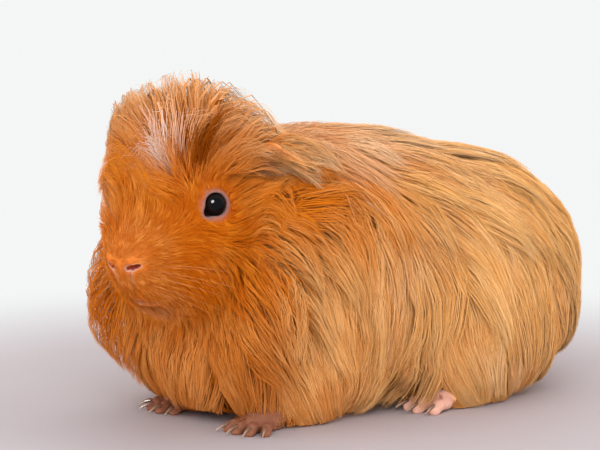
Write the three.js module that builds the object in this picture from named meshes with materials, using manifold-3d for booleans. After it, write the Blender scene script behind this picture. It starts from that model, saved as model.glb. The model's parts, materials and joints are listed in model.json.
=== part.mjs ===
// A life-size, still model of a long-haired ginger guinea pig at rest, with its head turned to its left.
//
// Millimetres, +Z up. The body looks along -Y, its left side is +X, and it stands on the plane z = 0. The origin
// is below the middle of the bounding box. The solids follow the coat's outline, out to the tips of the hair.
//
// Every soft form is a smooth union of ellipsoids, the "blobs" below. A node is the skin of such a union, drawn
// on a sphere whose vertices are pushed out to it, then trimmed so that neighbours stay GAP apart.
import * as THREE from "three";
import { mergeVertices } from "three/addons/utils/BufferGeometryUtils.js";
import Module from "manifold-3d";

const wasm = await Module();
wasm.setup();

// ---------------------------------------------------------------- driving dimensions
const GAP = 0.3; // clearance between neighbouring solids
const BIG = 600; // side of the boxes that cut the solids
const HEM = 1.6; // height of the lowest hair of the coat above the ground

const SHOULDER = { y: -12, z: 56, halfWidth: 57, halfLength: 62, halfHeight: 51 };
const RUMP = { y: 41, z: 48, halfWidth: 60, halfLength: 66.5, halfHeight: 47.5 };
const HAUNCH_SKIRT = { x: 29, y: 40, z: 26, halfWidth: 33, halfLength: 44, halfHeight: 30 };
const SHOULDER_SKIRT = { x: 25, y: -34, z: 23, halfWidth: 28, halfLength: 38, halfHeight: 30 };
const RUFF = { x: 3, y: -50, z: 60, halfWidth: 47, halfLength: 36, halfHeight: 45 };
const CHEST = { x: 4, y: -61, z: 30, halfWidth: 34, halfLength: 27, halfHeight: 28 };
const TRUNK_BLEND = 20; // how softly the blobs of the trunk run into each other
const LOCK = { width: 25, lean: 0.45, depth: 1.1 }; // the broad locks that the coat falls in
const BELLY = { y: 8, halfWidth: 36, halfLength: 62, height: 5 }; // the arch under the coat, between the legs

// The head turns about a vertical line through the neck, in degrees to its left.
const HEAD_PIVOT = { y: -40, yaw: 18 };
const SKULL = { s: 32, z: 81, halfLength: 34, halfWidth: 19.8, halfHeight: 22 };
const MUZZLE = { s: 61, z: 65, halfLength: 18.5, halfWidth: 14, halfHeight: 16 };
const BRIDGE = { s: 50, z: 79, halfLength: 25, halfWidth: 12.5, halfHeight: 12, pitch: 38 };
const CHIN = { s: 52, z: 53, halfLength: 17, halfWidth: 11, halfHeight: 11 };
const CHEEK = { s: 42, w: 13, z: 63, halfLength: 24, halfWidth: 14, halfHeight: 21 };
const MANE = { s: 33, w: 28, z: 48, halfLength: 22, halfWidth: 22, halfHeight: 31 };
const FOREHEAD = { s: 53, w: -7, z: 89, halfLength: 14, halfWidth: 14, halfHeight: 18 };
const CREST = {
  s: 29, w: -2, z: 106.5, halfLength: 31, halfWidth: 26.5, halfHeight: 20.5,
  floor: 84, skirt: 5, tufts: 11, depth: 1.2, // where it is cut off, how far it runs into the coat, and its ridges
};
const HEAD_BLEND = 11; // how softly the head's blobs run into each other and into the trunk
const HOLLOW_BLEND = 5;

const EYE = { s: 45, w: 15.6, z: 81.5, radius: 5.1 };
const SOCKET = { s: 46.5, w: 26.3, z: 82, halfLength: 9.5, halfWidth: 8, halfHeight: 8 }; // bares the eye
const EAR = {
  s: 20, w: 16, z: 94.5, // the middle of its root
  halfLength: 16.5, halfWidth: 10.5, halfThickness: 1.1,
  cup: 4.5, back: 44, droop: 28, roll: 18, // how deep it is cupped, and the way it points, in degrees
};
const EAR_HOLLOW = { s: 9, w: 39, z: 88, halfLength: 19, halfWidth: 16, halfHeight: 13 };
// The cuts behind the head and behind the neck: a point on each, and how far it leans up, in degrees.
const NAPE_CUT = { s: 10, z: 97, lean: 38, turn: HEAD_PIVOT.yaw };
const NECK_CUT = { s: -8, z: 97, lean: 34, turn: HEAD_PIVOT.yaw / 2 };

const FORE = {
  toes: 4, toeLength: 7, toeRadius: 2.3, spread: 15, palm: [6.4, 8, 4],
  left: { x: 37, y: -62, turn: 20 }, // where the middle of each palm stands
  right: { x: -11, y: -62, turn: -3 },
  joints: [[-3, 15, 38], [-1, 19, 21], [0, 4, 5]], // shoulder, elbow and wrist, from there
  radii: [11, 8, 4.8],
};
const HIND = {
  toes: 3, toeLength: 9, toeRadius: 2.7, spread: 11, palm: [6.2, 17, 4.2],
  left: { x: 45, y: 21.5, turn: 8 },
  right: { x: -43, y: 24, turn: -10 },
  joints: [[-7, 22, 40], [-4, 0, 26], [-1, 15, 7]],
  radii: [14, 11, 5.6],
};
const SOLE_PRESS = 0.7; // how far the soft soles are pressed flat by the ground
const BOOT = [7, 12, 5]; // room in the hem of the coat round each palm, most of it for the toes
const CLAW = { length: 5.6, radius: 0.9, curl: 34 };

// ---------------------------------------------------------------- colours
const material = (color, roughness) => new THREE.MeshStandardMaterial({ color, roughness, metalness: 0 });
const HEAD_COAT = material(0xbb611c, 0.85);
const BODY_COAT = material(0xd9995c, 0.85);
const NECK_COAT = material(0xca7c36, 0.85);
const CREST_COAT = material(0xcb7a38, 0.85);
const BARE_SKIN = material(0xc9988a, 0.6);
const EAR_SKIN = material(0xa8695a, 0.65);
const EYE_BLACK = material(0x120a08, 0.08);
const CLAW_HORN = material(0x8d6a50, 0.4);

// ---------------------------------------------------------------- fields
const rad = THREE.MathUtils.degToRad;

// Joins two distances with a rounded crease of width k.
function softMin(a, b, k) {
  const h = Math.max(k - Math.abs(a - b), 0) / k;
  return Math.min(a, b) - (h * h * k) / 4;
}

// An ellipsoid as a distance function of a THREE.Vector3, turned by pitch degrees about its own X.
function blob(x, y, z, halfX, halfY, halfZ, pitch = 0) {
  const c = Math.cos(rad(pitch));
  const s = Math.sin(rad(pitch));
  return (p) => {
    const dx = p.x - x;
    const dy = c * (p.y - y) + s * (p.z - z);
    const dz = -s * (p.y - y) + c * (p.z - z);
    const k0 = Math.hypot(dx / halfX, dy / halfY, dz / halfZ);
    const k1 = Math.hypot(dx / halfX ** 2, dy / halfY ** 2, dz / halfZ ** 2);
    return k1 < 1e-9 ? -Math.min(halfX, halfY, halfZ) : (k0 * (k0 - 1)) / k1;
  };
}

const blend = (fields, k) => (p) => fields.reduce((d, field) => softMin(d, field(p), k), BIG);

// The same field, told in the head's own frame: s forward from the pivot, w to the animal's left.
const TURN = rad(HEAD_PIVOT.yaw);
function toHead(p) {
  const y = p.y - HEAD_PIVOT.y;
  const w = p.x * Math.cos(TURN) + y * Math.sin(TURN);
  const s = p.x * Math.sin(TURN) - y * Math.cos(TURN);
  return new THREE.Vector3(w, -s, p.z);
}
function headPoint(s, w, z) {
  return new THREE.Vector3(
    s * Math.sin(TURN) + w * Math.cos(TURN),
    HEAD_PIVOT.y - s * Math.cos(TURN) + w * Math.sin(TURN),
    z,
  );
}
const headBlob = (b, w = 0) => blob(w, -b.s, b.z, b.halfWidth, b.halfLength, b.halfHeight, b.pitch);
const bodyBlob = (b, x = b.x ?? 0) => blob(x, b.y, b.z, b.halfWidth, b.halfLength, b.halfHeight);

// Shallow ridges that lean back as they fall, deepest near the hem.
function locks(p) {
  const fall = THREE.MathUtils.clamp((105 - p.z) / 105, 0, 1);
  const phase = ((p.y - LOCK.lean * (105 - p.z)) / LOCK.width) * 2 * Math.PI;
  const side = Math.min(Math.abs(p.x) / 30, 1);
  return LOCK.depth * fall * side * Math.cos(phase);
}

const trunkBlobs = blend(
  [
    bodyBlob(SHOULDER),
    bodyBlob(RUMP),
    ...[-1, 1].flatMap((side) => [
      bodyBlob(HAUNCH_SKIRT, side * HAUNCH_SKIRT.x),
      bodyBlob(SHOULDER_SKIRT, side * SHOULDER_SKIRT.x),
    ]),
    bodyBlob(RUFF),
    bodyBlob(CHEST),
  ],
  TRUNK_BLEND,
);
const skullBlobs = blend(
  [
    headBlob(SKULL),
    headBlob(MUZZLE),
    headBlob(BRIDGE),
    headBlob(FOREHEAD, FOREHEAD.w),
    headBlob(CHIN),
    ...[-1, 1].flatMap((side) => [headBlob(CHEEK, side * CHEEK.w), headBlob(MANE, side * MANE.w)]),
  ],
  HEAD_BLEND,
);
const crestBlob = headBlob(CREST, CREST.w);
const hollows = blend(
  [1, -1].flatMap((side) => [EAR_HOLLOW, SOCKET].map((hollow) => headBlob(hollow, side * hollow.w))),
  1,
);

const headField = (p) => skullBlobs(toHead(p));
const bodyField = (p) => trunkBlobs(p) + locks(p);
const hollowed = (field) => (p) => -softMin(-field(p), hollows(toHead(p)), HOLLOW_BLEND);
const wholeField = hollowed((p) => softMin(bodyField(p), headField(p), HEAD_BLEND));

// The crest is a mop of tufts that fan out from its crown and run down into the coat of the head.
function tufts(p) {
  const flat = toHead(p);
  const across = flat.x - CREST.w;
  const forward = -flat.y - CREST.s;
  const angle = Math.atan2(across, forward);
  const reach = Math.min(Math.hypot(across, forward) / CREST.halfWidth, 1);
  return CREST.depth * reach * Math.cos(CREST.tufts * angle);
}
const crestField = hollowed((p) => {
  const mop = crestBlob(toHead(p)) + tufts(p);
  return Math.max(softMin(mop, wholeField(p), HEAD_BLEND), mop - CREST.skirt, CREST.floor - p.z);
});

// ---------------------------------------------------------------- solids
const LENGTHWAYS = new THREE.Vector3(0, 1, 0);
const UPWARD = new THREE.Vector3(0, 0, 1);

function solidOf(geometry) {
  const bare = new THREE.BufferGeometry();
  bare.setAttribute("position", geometry.getAttribute("position"));
  bare.setIndex(geometry.index);
  const merged = mergeVertices(bare, 1e-4);
  return new wasm.Manifold(
    new wasm.Mesh({
      numProp: 3,
      vertProperties: merged.attributes.position.array,
      triVerts: new Uint32Array(merged.index.array),
    }),
  );
}

function geometryOf(solid) {
  const mesh = solid.getMesh();
  const geometry = new THREE.BufferGeometry();
  geometry.setAttribute("position", new THREE.BufferAttribute(new Float32Array(mesh.vertProperties), 3));
  geometry.setIndex(new THREE.BufferAttribute(new Uint32Array(mesh.triVerts), 1));
  geometry.computeVertexNormals();
  return geometry;
}

// Pushes each vertex of a sphere out along its ray until field is level. The poles point along axis. The rays
// start from a core, which reaches the given length from centre to either side along axis.
function surface(field, centre, around, along, { level = 0, axis = UPWARD, core = 0 } = {}) {
  const geometry = new THREE.SphereGeometry(1, around, along);
  geometry.applyQuaternion(new THREE.Quaternion().setFromUnitVectors(new THREE.Vector3(0, 1, 0), axis));
  const at = geometry.getAttribute("position");
  const ray = new THREE.Vector3();
  const start = new THREE.Vector3();
  const probe = new THREE.Vector3();
  const value = (t) => field(probe.copy(start).addScaledVector(ray, t)) - level;
  for (let i = 0; i < at.count; i++) {
    ray.fromBufferAttribute(at, i).normalize();
    start.copy(centre).addScaledVector(axis, core * ray.dot(axis));
    let near = 0;
    let far = 2;
    while (value(far) < 0 && far < BIG) [near, far] = [far, far + 2];
    for (let k = 0; k < 24; k++) {
      const middle = (near + far) / 2;
      if (value(middle) < 0) near = middle;
      else far = middle;
    }
    at.setXYZ(i, ...probe.copy(start).addScaledVector(ray, far).toArray());
  }
  return solidOf(geometry);
}

// An ellipsoid shaped further by move, a function that changes one THREE.Vector3 in place.
function ball(radii, around, along, move = () => {}) {
  const geometry = new THREE.SphereGeometry(1, around, along).scale(...radii);
  const at = geometry.getAttribute("position");
  const p = new THREE.Vector3();
  for (let i = 0; i < at.count; i++) {
    move(p.fromBufferAttribute(at, i));
    at.setXYZ(i, p.x, p.y, p.z);
  }
  return solidOf(geometry);
}

// A big box whose one face passes through point, with the box on the side that normal points to.
function halfSpace(point, normal) {
  const box = new THREE.BoxGeometry(BIG, BIG, BIG).translate(0, 0, BIG / 2);
  const turn = new THREE.Quaternion().setFromUnitVectors(UPWARD, normal.clone().normalize());
  return solidOf(box.applyQuaternion(turn).translate(point.x, point.y, point.z));
}
const above = (z) => halfSpace(new THREE.Vector3(0, 0, z), UPWARD);

// A cutting plane as [point, normal], with the normal towards the head.
function cutPlane(cut) {
  const normal = new THREE.Vector3(0, -1, 0)
    .applyAxisAngle(new THREE.Vector3(1, 0, 0), -rad(cut.lean))
    .applyAxisAngle(new THREE.Vector3(0, 0, 1), rad(cut.turn));
  return [headPoint(cut.s, 0, cut.z), normal];
}
const behind = ([point, normal]) => [point, normal.clone().negate()];
const ahead = (p, [point, normal]) => normal.dot(new THREE.Vector3().copy(p).sub(point));
const napeCut = cutPlane(NAPE_CUT);
const neckCut = cutPlane(NECK_CUT);

// The part of the whole body on the kept side of each plane, half a GAP clear of it.
function slice(centre, around, along, planes, shape) {
  const SPARE = 26; // the raw surface runs this far past each cut
  const bounded = (p) => Math.max(wholeField(p), ...planes.map((plane) => -ahead(p, plane) - SPARE));
  const kept = ([point, normal]) => halfSpace(point.clone().addScaledVector(normal, GAP / 2), normal);
  return planes.reduce(
    (solid, plane) => solid.intersect(kept(plane)),
    surface(bounded, centre, around, along, shape),
  );
}

// A tapered limb: balls of the given radii at the joints, joined along straight bones.
function limb(joints, radii) {
  const bones = [];
  for (let i = 0; i + 1 < joints.length; i++) {
    const from = new THREE.Vector3(...joints[i]);
    const to = new THREE.Vector3(...joints[i + 1]);
    bones.push((p) => {
      const axis = to.clone().sub(from);
      const t = THREE.MathUtils.clamp(p.clone().sub(from).dot(axis) / axis.lengthSq(), 0, 1);
      const r = THREE.MathUtils.lerp(radii[i], radii[i + 1], t);
      return from.clone().addScaledVector(axis, t).distanceTo(p) - r;
    });
  }
  return blend(bones, 5);
}

// Where a toe lies in its foot's own frame: the foot points along -Y, its sole is at z = 0 and the toes fan out.
function toePlace(foot, index) {
  const offset = index - (foot.toes - 1) / 2;
  const reach = foot.palm[1] * 0.58 + foot.toeLength * (0.85 - (0.4 * Math.abs(offset)) / foot.toes);
  return new THREE.Matrix4()
    .makeRotationZ(rad(foot.spread) * offset)
    .multiply(shift(offset * foot.toeRadius, -reach, foot.toeRadius - SOLE_PRESS));
}

const shift = (x, y, z) => new THREE.Matrix4().makeTranslation(x, y, z);
const stand = (foot, side) => (side > 0 ? foot.left : foot.right);
function footPlace(foot, side) {
  const { x, y, turn } = stand(foot, side);
  return shift(x, y, 0).multiply(new THREE.Matrix4().makeRotationZ(rad(turn)));
}

const moved = (solid, matrix) => solidOf(geometryOf(solid).applyMatrix4(matrix));

function palmSolid(foot, side, room = [0, 0, 0]) {
  const radii = foot.palm.map((r, i) => r + room[i]);
  const place = footPlace(foot, side).multiply(shift(0, -room[1] * 0.7, foot.palm[2] - SOLE_PRESS));
  return moved(ball(radii, 10, 5), place);
}

// One toe with an arched knuckle, and the claw that it carries.
function toeSolid(foot, side, index, room = 0) {
  const radii = [foot.toeRadius + room, foot.toeLength * 0.62 + room, foot.toeRadius + room];
  const toe = ball(radii, 7, 5, (p) => {
    p.z += 0.02 * (p.y + radii[1]) ** 2 - 0.4;
  });
  return moved(toe, footPlace(foot, side).multiply(toePlace(foot, index)));
}
function clawSolid(foot, side, index) {
  const claw = ball([CLAW.radius, CLAW.length / 2, CLAW.radius], 5, 5, (p) => {
    const along = (CLAW.length / 2 - p.y) / CLAW.length; // 0 at the root, 1 at the tip
    p.x *= 1.25 - along * 0.8;
    p.z *= 1.25 - along * 0.8;
    p.z -= Math.tan(rad(CLAW.curl)) * CLAW.length * 0.42 * along ** 2;
  });
  const reach = -foot.toeLength * 0.62 - CLAW.length * 0.2;
  const place = footPlace(foot, side).multiply(toePlace(foot, index)).multiply(shift(0, reach, 1));
  return moved(claw, place).subtract(toeSolid(foot, side, index, GAP));
}

// The leg above its foot, and the pocket that the coat leaves round both.
function legSolid(foot, side, level = 0) {
  const { x, y } = stand(foot, side);
  const joints = foot.joints.map(([dx, dy, z]) => [x + side * dx, y + dy, z]);
  const knee = new THREE.Vector3(...joints[1]).lerp(new THREE.Vector3(...joints[2]), 0.2);
  return surface(limb(joints, foot.radii), knee, 9, 6, { level });
}
const pocket = (foot, side) => legSolid(foot, side, GAP).add(palmSolid(foot, side, BOOT));

const eyeCentre = (side) => headPoint(EYE.s, side * EYE.w, EYE.z);
function eyeSolid(side, grow = 0) {
  const c = eyeCentre(side);
  return solidOf(new THREE.SphereGeometry(EYE.radius + grow, 12, 8).translate(c.x, c.y, c.z));
}

// A cupped petal that droops out, back and down from the head, with its hollow side facing forward.
function earSolid(side) {
  const petal = ball([EAR.halfWidth, EAR.halfLength, EAR.halfThickness], 16, 10, (p) => {
    const u = p.x / EAR.halfWidth;
    const v = p.y / EAR.halfLength;
    p.x *= 1 - 0.22 * v; // broader at the root
    p.z += EAR.cup * (u * u + 0.25 * v * v - 0.4);
  });
  const length = new THREE.Vector3(
    side * Math.cos(rad(EAR.back)) * Math.cos(rad(EAR.droop)),
    Math.sin(rad(EAR.back)) * Math.cos(rad(EAR.droop)),
    -Math.sin(rad(EAR.droop)),
  );
  const face = new THREE.Vector3().crossVectors(length, UPWARD).multiplyScalar(side).normalize();
  const across = new THREE.Vector3().crossVectors(length, face).normalize();
  const place = new THREE.Matrix4()
    .makeBasis(across, length, face)
    .multiply(new THREE.Matrix4().makeRotationY(side * rad(EAR.roll)))
    .multiply(shift(0, EAR.halfLength * 0.8, 0));
  place.premultiply(new THREE.Matrix4().makeRotationZ(TURN));
  place.premultiply(shift(...headPoint(EAR.s, side * EAR.w, EAR.z).toArray()));
  return moved(petal, place);
}

// ---------------------------------------------------------------- nodes
const group = new THREE.Group();

// Adds the largest piece of a solid, so that no crumb left by a cut is kept.
function addNode(name, solid, look) {
  const piece = solid.decompose().reduce((a, b) => (a.volume() > b.volume() ? a : b));
  const mesh = new THREE.Mesh(geometryOf(piece), look);
  mesh.name = name;
  group.add(mesh);
}
const cutFrom = (solid, holes) => holes.reduce((left, hole) => left.subtract(hole), solid);

const headAxis = headPoint(1, 0, 0).sub(headPoint(0, 0, 0));
const crestCentre = headPoint(CREST.s, CREST.w, CREST.z);
const bodies = { // where the rays of each slice of the body start, and the cuts that bound it
  trunk: [new THREE.Vector3(0, 6, 50), 38, 28, { axis: LENGTHWAYS, core: 55 }, [behind(neckCut)]],
  neck: [headPoint(16, 0, 62), 36, 22, {}, [neckCut, behind(napeCut)]],
  head: [headPoint(39, 0, 74), 37, 26, { axis: headAxis, core: 22 }, [napeCut]],
};
function bodySlice(name) {
  const [centre, around, along, shape, planes] = bodies[name];
  return slice(centre, around, along, planes, shape);
}
function bodyGrown(name, level) {
  const [centre, around, along, shape] = bodies[name];
  return surface(wholeField, centre, around, along, { ...shape, level });
}

const pockets = [1, -1].flatMap((side) => [pocket(FORE, side), pocket(HIND, side)]);
const arch = moved(ball([BELLY.halfWidth, BELLY.halfLength, BELLY.height], 20, 8), shift(0, BELLY.y, 0));
const eyeHoles = [eyeSolid(1, GAP), eyeSolid(-1, GAP)];
const headRoom = bodyGrown("head", 1.6 * GAP);
const crest = (level) => surface(crestField, crestCentre, 32, 14, { level });
const earRoom = [headRoom, crest(GAP), bodyGrown("trunk", GAP), bodyGrown("neck", GAP)];

addNode("trunk", cutFrom(bodySlice("trunk"), [arch, ...pockets]).intersect(above(HEM)), BODY_COAT);
addNode("neck", cutFrom(bodySlice("neck"), pockets).intersect(above(HEM)), NECK_COAT);
addNode("head", cutFrom(bodySlice("head"), eyeHoles), HEAD_COAT);
addNode("crest", cutFrom(crest(0), [headRoom, ...eyeHoles]), CREST_COAT);
for (const [side, hand] of [[1, "left"], [-1, "right"]]) {
  addNode(`eye_${hand}`, eyeSolid(side), EYE_BLACK);
  addNode(`ear_${hand}`, cutFrom(earSolid(side), earRoom), EAR_SKIN);
  for (const [limbName, foot] of [["fore", FORE], ["hind", HIND]]) {
    const toes = Array.from({ length: foot.toes }, (_, i) => i);
    const leg = [palmSolid(foot, side), ...toes.map((i) => toeSolid(foot, side, i))].reduce(
      (joined, part) => joined.add(part),
      legSolid(foot, side),
    );
    addNode(`${limbName}leg_${hand}`, leg.intersect(above(0)), BARE_SKIN);
    for (const i of toes) addNode(`${limbName}claw_${hand}_${i + 1}`, clawSolid(foot, side, i), CLAW_HORN);
  }
}

// Brings the origin below the middle of the bounding box.
const middle = new THREE.Box3().setFromObject(group).getCenter(new THREE.Vector3());
group.position.set(-middle.x, -middle.y, 0);

export default group;
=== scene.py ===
"""A still, life-size, long-haired ginger guinea pig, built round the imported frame.

Shapes are worked out in millimetres in the animal's own frame. +Z is up, the body looks along -Y, its left is
+X, and to_world() takes them to the row's frame in metres. Soft forms are fields, functions of points that are
negative inside: outline_field is the outside of the coat, the same union of blobs as the CAD solids, and
skin_field is the animal under it. Hair grows on the skin and lies between the two.

A set of points is an array or a tuple p whose first axis holds x, y and z.
"""
import functools
import json
import math

import bpy
import numpy as np
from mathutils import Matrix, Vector
from mathutils.kdtree import KDTree

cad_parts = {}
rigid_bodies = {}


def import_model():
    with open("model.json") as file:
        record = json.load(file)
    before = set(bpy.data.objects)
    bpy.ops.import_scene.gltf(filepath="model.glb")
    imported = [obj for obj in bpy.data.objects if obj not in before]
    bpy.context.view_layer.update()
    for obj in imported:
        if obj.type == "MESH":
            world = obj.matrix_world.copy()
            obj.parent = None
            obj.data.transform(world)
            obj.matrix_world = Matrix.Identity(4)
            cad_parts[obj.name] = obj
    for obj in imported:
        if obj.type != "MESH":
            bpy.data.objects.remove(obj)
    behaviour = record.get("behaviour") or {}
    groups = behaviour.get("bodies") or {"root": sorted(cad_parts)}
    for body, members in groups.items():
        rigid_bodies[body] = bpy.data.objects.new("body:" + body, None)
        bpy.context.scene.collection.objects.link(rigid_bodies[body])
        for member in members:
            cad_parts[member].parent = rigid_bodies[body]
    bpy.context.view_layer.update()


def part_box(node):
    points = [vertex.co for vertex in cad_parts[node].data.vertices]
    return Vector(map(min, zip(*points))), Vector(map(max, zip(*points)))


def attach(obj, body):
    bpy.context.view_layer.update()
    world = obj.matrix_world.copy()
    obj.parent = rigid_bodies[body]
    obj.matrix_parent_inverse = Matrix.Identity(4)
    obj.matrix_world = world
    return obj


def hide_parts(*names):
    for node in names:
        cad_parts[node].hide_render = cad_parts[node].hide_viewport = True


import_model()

# ---------------------------------------------------------------- driving dimensions, in mm and degrees
MM = 0.001
SIDES = {"left": 1, "right": -1}
HEM = 1.6  # height of the lowest hair of the coat above the ground

# Blobs of the trunk: centre, half sizes across, along and up, and how deep the coat is over them.
SHOULDER = ((0, -12, 56), (57, 62, 51), 12)
RUMP = ((0, 41, 48), (60, 66.5, 47.5), 11)
HAUNCH_SKIRT = ((29, 40, 26), (33, 44, 30), 15)
SHOULDER_SKIRT = ((25, -34, 23), (28, 38, 30), 15)
RUFF = ((3, -50, 60), (47, 36, 45), 15)
CHEST = ((4, -61, 30), (34, 27, 28), 12)
TRUNK_BLEND = 20
LOCK_WIDTH, LOCK_LEAN, LOCK_DEPTH = 25, 0.45, 1.1

# The head turns about a vertical line through the neck. In its own frame a point is (s, w, z): s forward from
# that line, w to the animal's left. Blobs of the head: centre, half sizes along, across and up, depth of the
# coat, and pitch.
PIVOT_Y, YAW = -40, math.radians(18)
SKULL = ((32, 0, 81), (34, 19.8, 22), 3.5, 0)
MUZZLE = ((61, 0, 65), (18.5, 14, 16), 1.3, 0)
BRIDGE = ((50, 0, 79), (25, 12.5, 12), 1.6, 38)
FOREHEAD = ((53, -7, 89), (14, 14, 18), 9, 0)
CHIN = ((52, 0, 53), (17, 11, 11), 2.4, 0)
CHEEK = ((42, 13, 63), (24, 14, 21), 4.5, 0)
MANE = ((33, 28, 48), (22, 22, 31), 14, 0)
CREST = ((29, -2, 106.5), (31, 26.5, 20.5))
CREST_FLOOR, CREST_SKIRT, CREST_TUFTS, CREST_DEPTH = 84, 5, 11, 1.2
HEAD_BLEND, HOLLOW_BLEND = 11, 5
SOCKET = ((46.5, 26.3, 82), (9.5, 8, 8))
EAR_HOLLOW = ((9, 39, 88), (19, 16, 13))

EYE, EYE_RADIUS = (45, 15.6, 81.5), 5.1
EYE_LOOKS = (0.52, 0.84, 0.10)  # where the opening between the lids faces
LID_RADIUS, LID_BLEND = 6.0, 4.0
OPENING = (4.3, 4.15)  # half width and half height of the opening
CANTHUS = (3.8, -2.9, 1.3)  # its front corner: forward, up, radius
LID_RIM = 0.3  # how wide the bare rim of the lids is
CORNEA = 0.4  # how far the clear front of the eye stands out

EAR, EAR_LENGTH, EAR_WIDTH, EAR_RIM = (22.5, 17.5, 95), 12.5, 10.5, 0.7
EAR_CUP, EAR_BACK, EAR_DROOP, EAR_ROLL = 4.5, math.radians(44), math.radians(28), math.radians(18)

NOSE = (77.5, 0, 63)  # the point that the hair of the face flows away from
NOSTRIL = ((76.7, 4.9, 62.2), 1.5, 0.8)  # middle, half length and radius of the slit
MOUTH_Z, MOUTH_HALF_WIDTH = 48.6, 6.0
WHISKER_PAD = (69, 8.5, 58.5)  # the middle of the whiskers' roots
WHISKER_ROWS, WHISKER_COLUMNS, WHISKER_GAP, WHISKER_WIDTH = 4, 3, 2.6, 0.065
WHISKER_LENGTH, WHISKER_SWEEP = (13, 19), (-0.45, 0, -0.28)

# Feet: toes, toe length and radius, spread of the toes, half sizes of the palm, how far back it is bare,
# where each stands and its turn, and the joints of the leg above it with their radii.
FORE = {
    "toes": 4, "length": 7, "radius": 2.3, "spread": 15, "palm": (6.4, 8, 4), "bare": 6,
    "left": (37, -62, 20), "right": (-11, -62, -3),
    "joints": ((-3, 15, 38), (-1, 19, 21), (0, 4, 5)), "radii": (11, 8, 4.8),
}
HIND = {
    "toes": 3, "length": 9, "radius": 2.7, "spread": 11, "palm": (6.2, 17, 4.2), "bare": -9,
    "left": (45, 21.5, 8), "right": (-43, 24, -10),
    "joints": ((-7, 22, 40), (-4, 0, 26), (-1, 15, 7)), "radii": (14, 11, 5.6),
}
FEET = {"fore": FORE, "hind": HIND}
SOLE_PRESS = 0.7
CLAW_LENGTH, CLAW_RADIUS, CLAW_CURL = 5.6, 0.9, 34

# The camera: where it stands round the animal, and where its target lands in the 600 x 450 picture.
AZIMUTH, ELEVATION, DISTANCE, TARGET = math.radians(52), math.radians(8), 1100, (0, 0, 60)
PICTURE_WIDTH, PICTURE_HEIGHT = 600, 450
FOCAL_PIXELS = 2915
TARGET_PIXEL = (336, 236.8)
SENSOR = 36

# The skin's grid: its spacing where the shape is fine, and elsewhere.
FINE, COARSE = ((0.62, 1.7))

# The coat. Body hair runs back and then down round a middle (y, z), with a radius and a least backward share.
# The shoulder's hair ends over the rump's at CREASE_Y.
CREASE_Y = -4
SHOULDER_ARC = ((-84, 37), 60, -0.25)
RUMP_ARC = ((-2, 28), 70, 0.25)
CREST_SPRING = (44, 10, 84)  # the point that the hair of the crest springs from
CREST_SWEEP = (-0.4, 0, 0.25)  # and the way that it is swept
CREST_MIDDLE = (28, -2, 76)  # the point that the outside of the crest is shaded round
CREST_HAIR, PALE_AND_LIT_TIPS = 43, 0.3  # the length of its hair, and how much paler that is at its tips, partly its own colour and partly painted light shining through them
CREST_FLOAT, BROW_FLOAT = 4.5, 2.2  # how far the hair of the crest and the brow stands out of the outline
CREST_PARTING = ((51.5, 17.5, 101), (4.5, 4, 8.5))  # a dark dent in the crest above the left eye
BEFORE_EAR = (29, 19, 92)
# Where the hair is short: the middle, the share of its length that is left there, and how far that reaches.
SHORT_ROUND = ((EYE, 0.28, 15), (BEFORE_EAR, 0.45, 13))
EAR_MOUTH = ((18.5, 26.5, 96), (8, 9, 6.5))  # where the hair leaves the upper rim of the ear bare
HAUNCH_LINE, HAUNCH_LEAN = 28.7, 0.44  # the parting on the haunch: y at the height of the back, and its lean
PARTING_DEPTH, PARTING_WIDTH = 2.2, 2.8
STREAK = ((52, 5.3, 88.5), (8, 4, 8))  # the white streak on the forehead
DARK_HAIR_AND_SHADE = ((50, 10.8, 93.5), (6, 3, 4))  # where the parting of the crest is darkened: partly its own darker hair, partly painted shade in its hollow
# Where hair falls over the feet: middles and half sizes in each foot's own frame.
HOODS = {"fore": ((1, 9, 5), (12, 14, 14)), "hind": ((1, 10, 5), (11.5, 20, 14))}
COAT_SHARE = 0.97
FACE_REACH = 50  # hair this near the nose is a piece of its own
STEPS = 10  # steps in which a hair grows
LOCK_SIZE = 14  # hairs in a lock
SWATH_SIZE = 22  # locks in a swath
# Broad locks that lie under the fine hair: how many to each fine hair, how wide and how deep.
UNDERCOAT_SHARE, UNDERCOAT_WIDTH, UNDERCOAT_DEPTH = 0.065, 0.9, 4.4
EAR_BRIDGES = (13.0, 2.0)  # how far locks pass over the hollow of an ear, and how far those that dip into it
CLUMPING = (0.36, 0.58)  # how far a lock's hairs are drawn together, high on the body and at the hem
SWATHING = 0.5  # and how far a swath's locks are
COAT_SEED, UNDERCOAT_SEED, WHISKER_SEED = 11, 23, 5
ROUNDNESS = 0.6  # how far the sides of a blade of hair are shaded as if it were round
UV_PATCH = 0.003
PIECE_LIMIT = 190000  # triangles

# Tables to read between: the first row goes in, the second comes out.
LENGTH_FROM_NOSE = ((0, 8, 20, 32, 42, 52, 66, 84), (2.6, 3.6, 5.2, 7.5, 12, 20, 32, 44))
LENGTH_UP_LEG = ((0, 8, 13, 24), (1.3, 2.2, 9, 26))
DENSITY_BY_LENGTH = ((2, 5, 12, 24, 40), (4.8, 3.8, 2.6, 1.8, 1.35))  # hairs to a square millimetre
WIDTH_BY_LENGTH = ((2, 5, 12, 24, 40), (0.19, 0.20, 0.22, 0.26, 0.28))
WIDTH_ALONG_HAIR = ((0, 0.2, 0.5, 0.8, 1), (0.6, 0.95, 1, 0.7, 0.15))
ORANGE_ALONG_HEAD = ((-34, -12, 15, 32, 45), (0.0, 0.31, 0.6, 0.88, 1.0))

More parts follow.
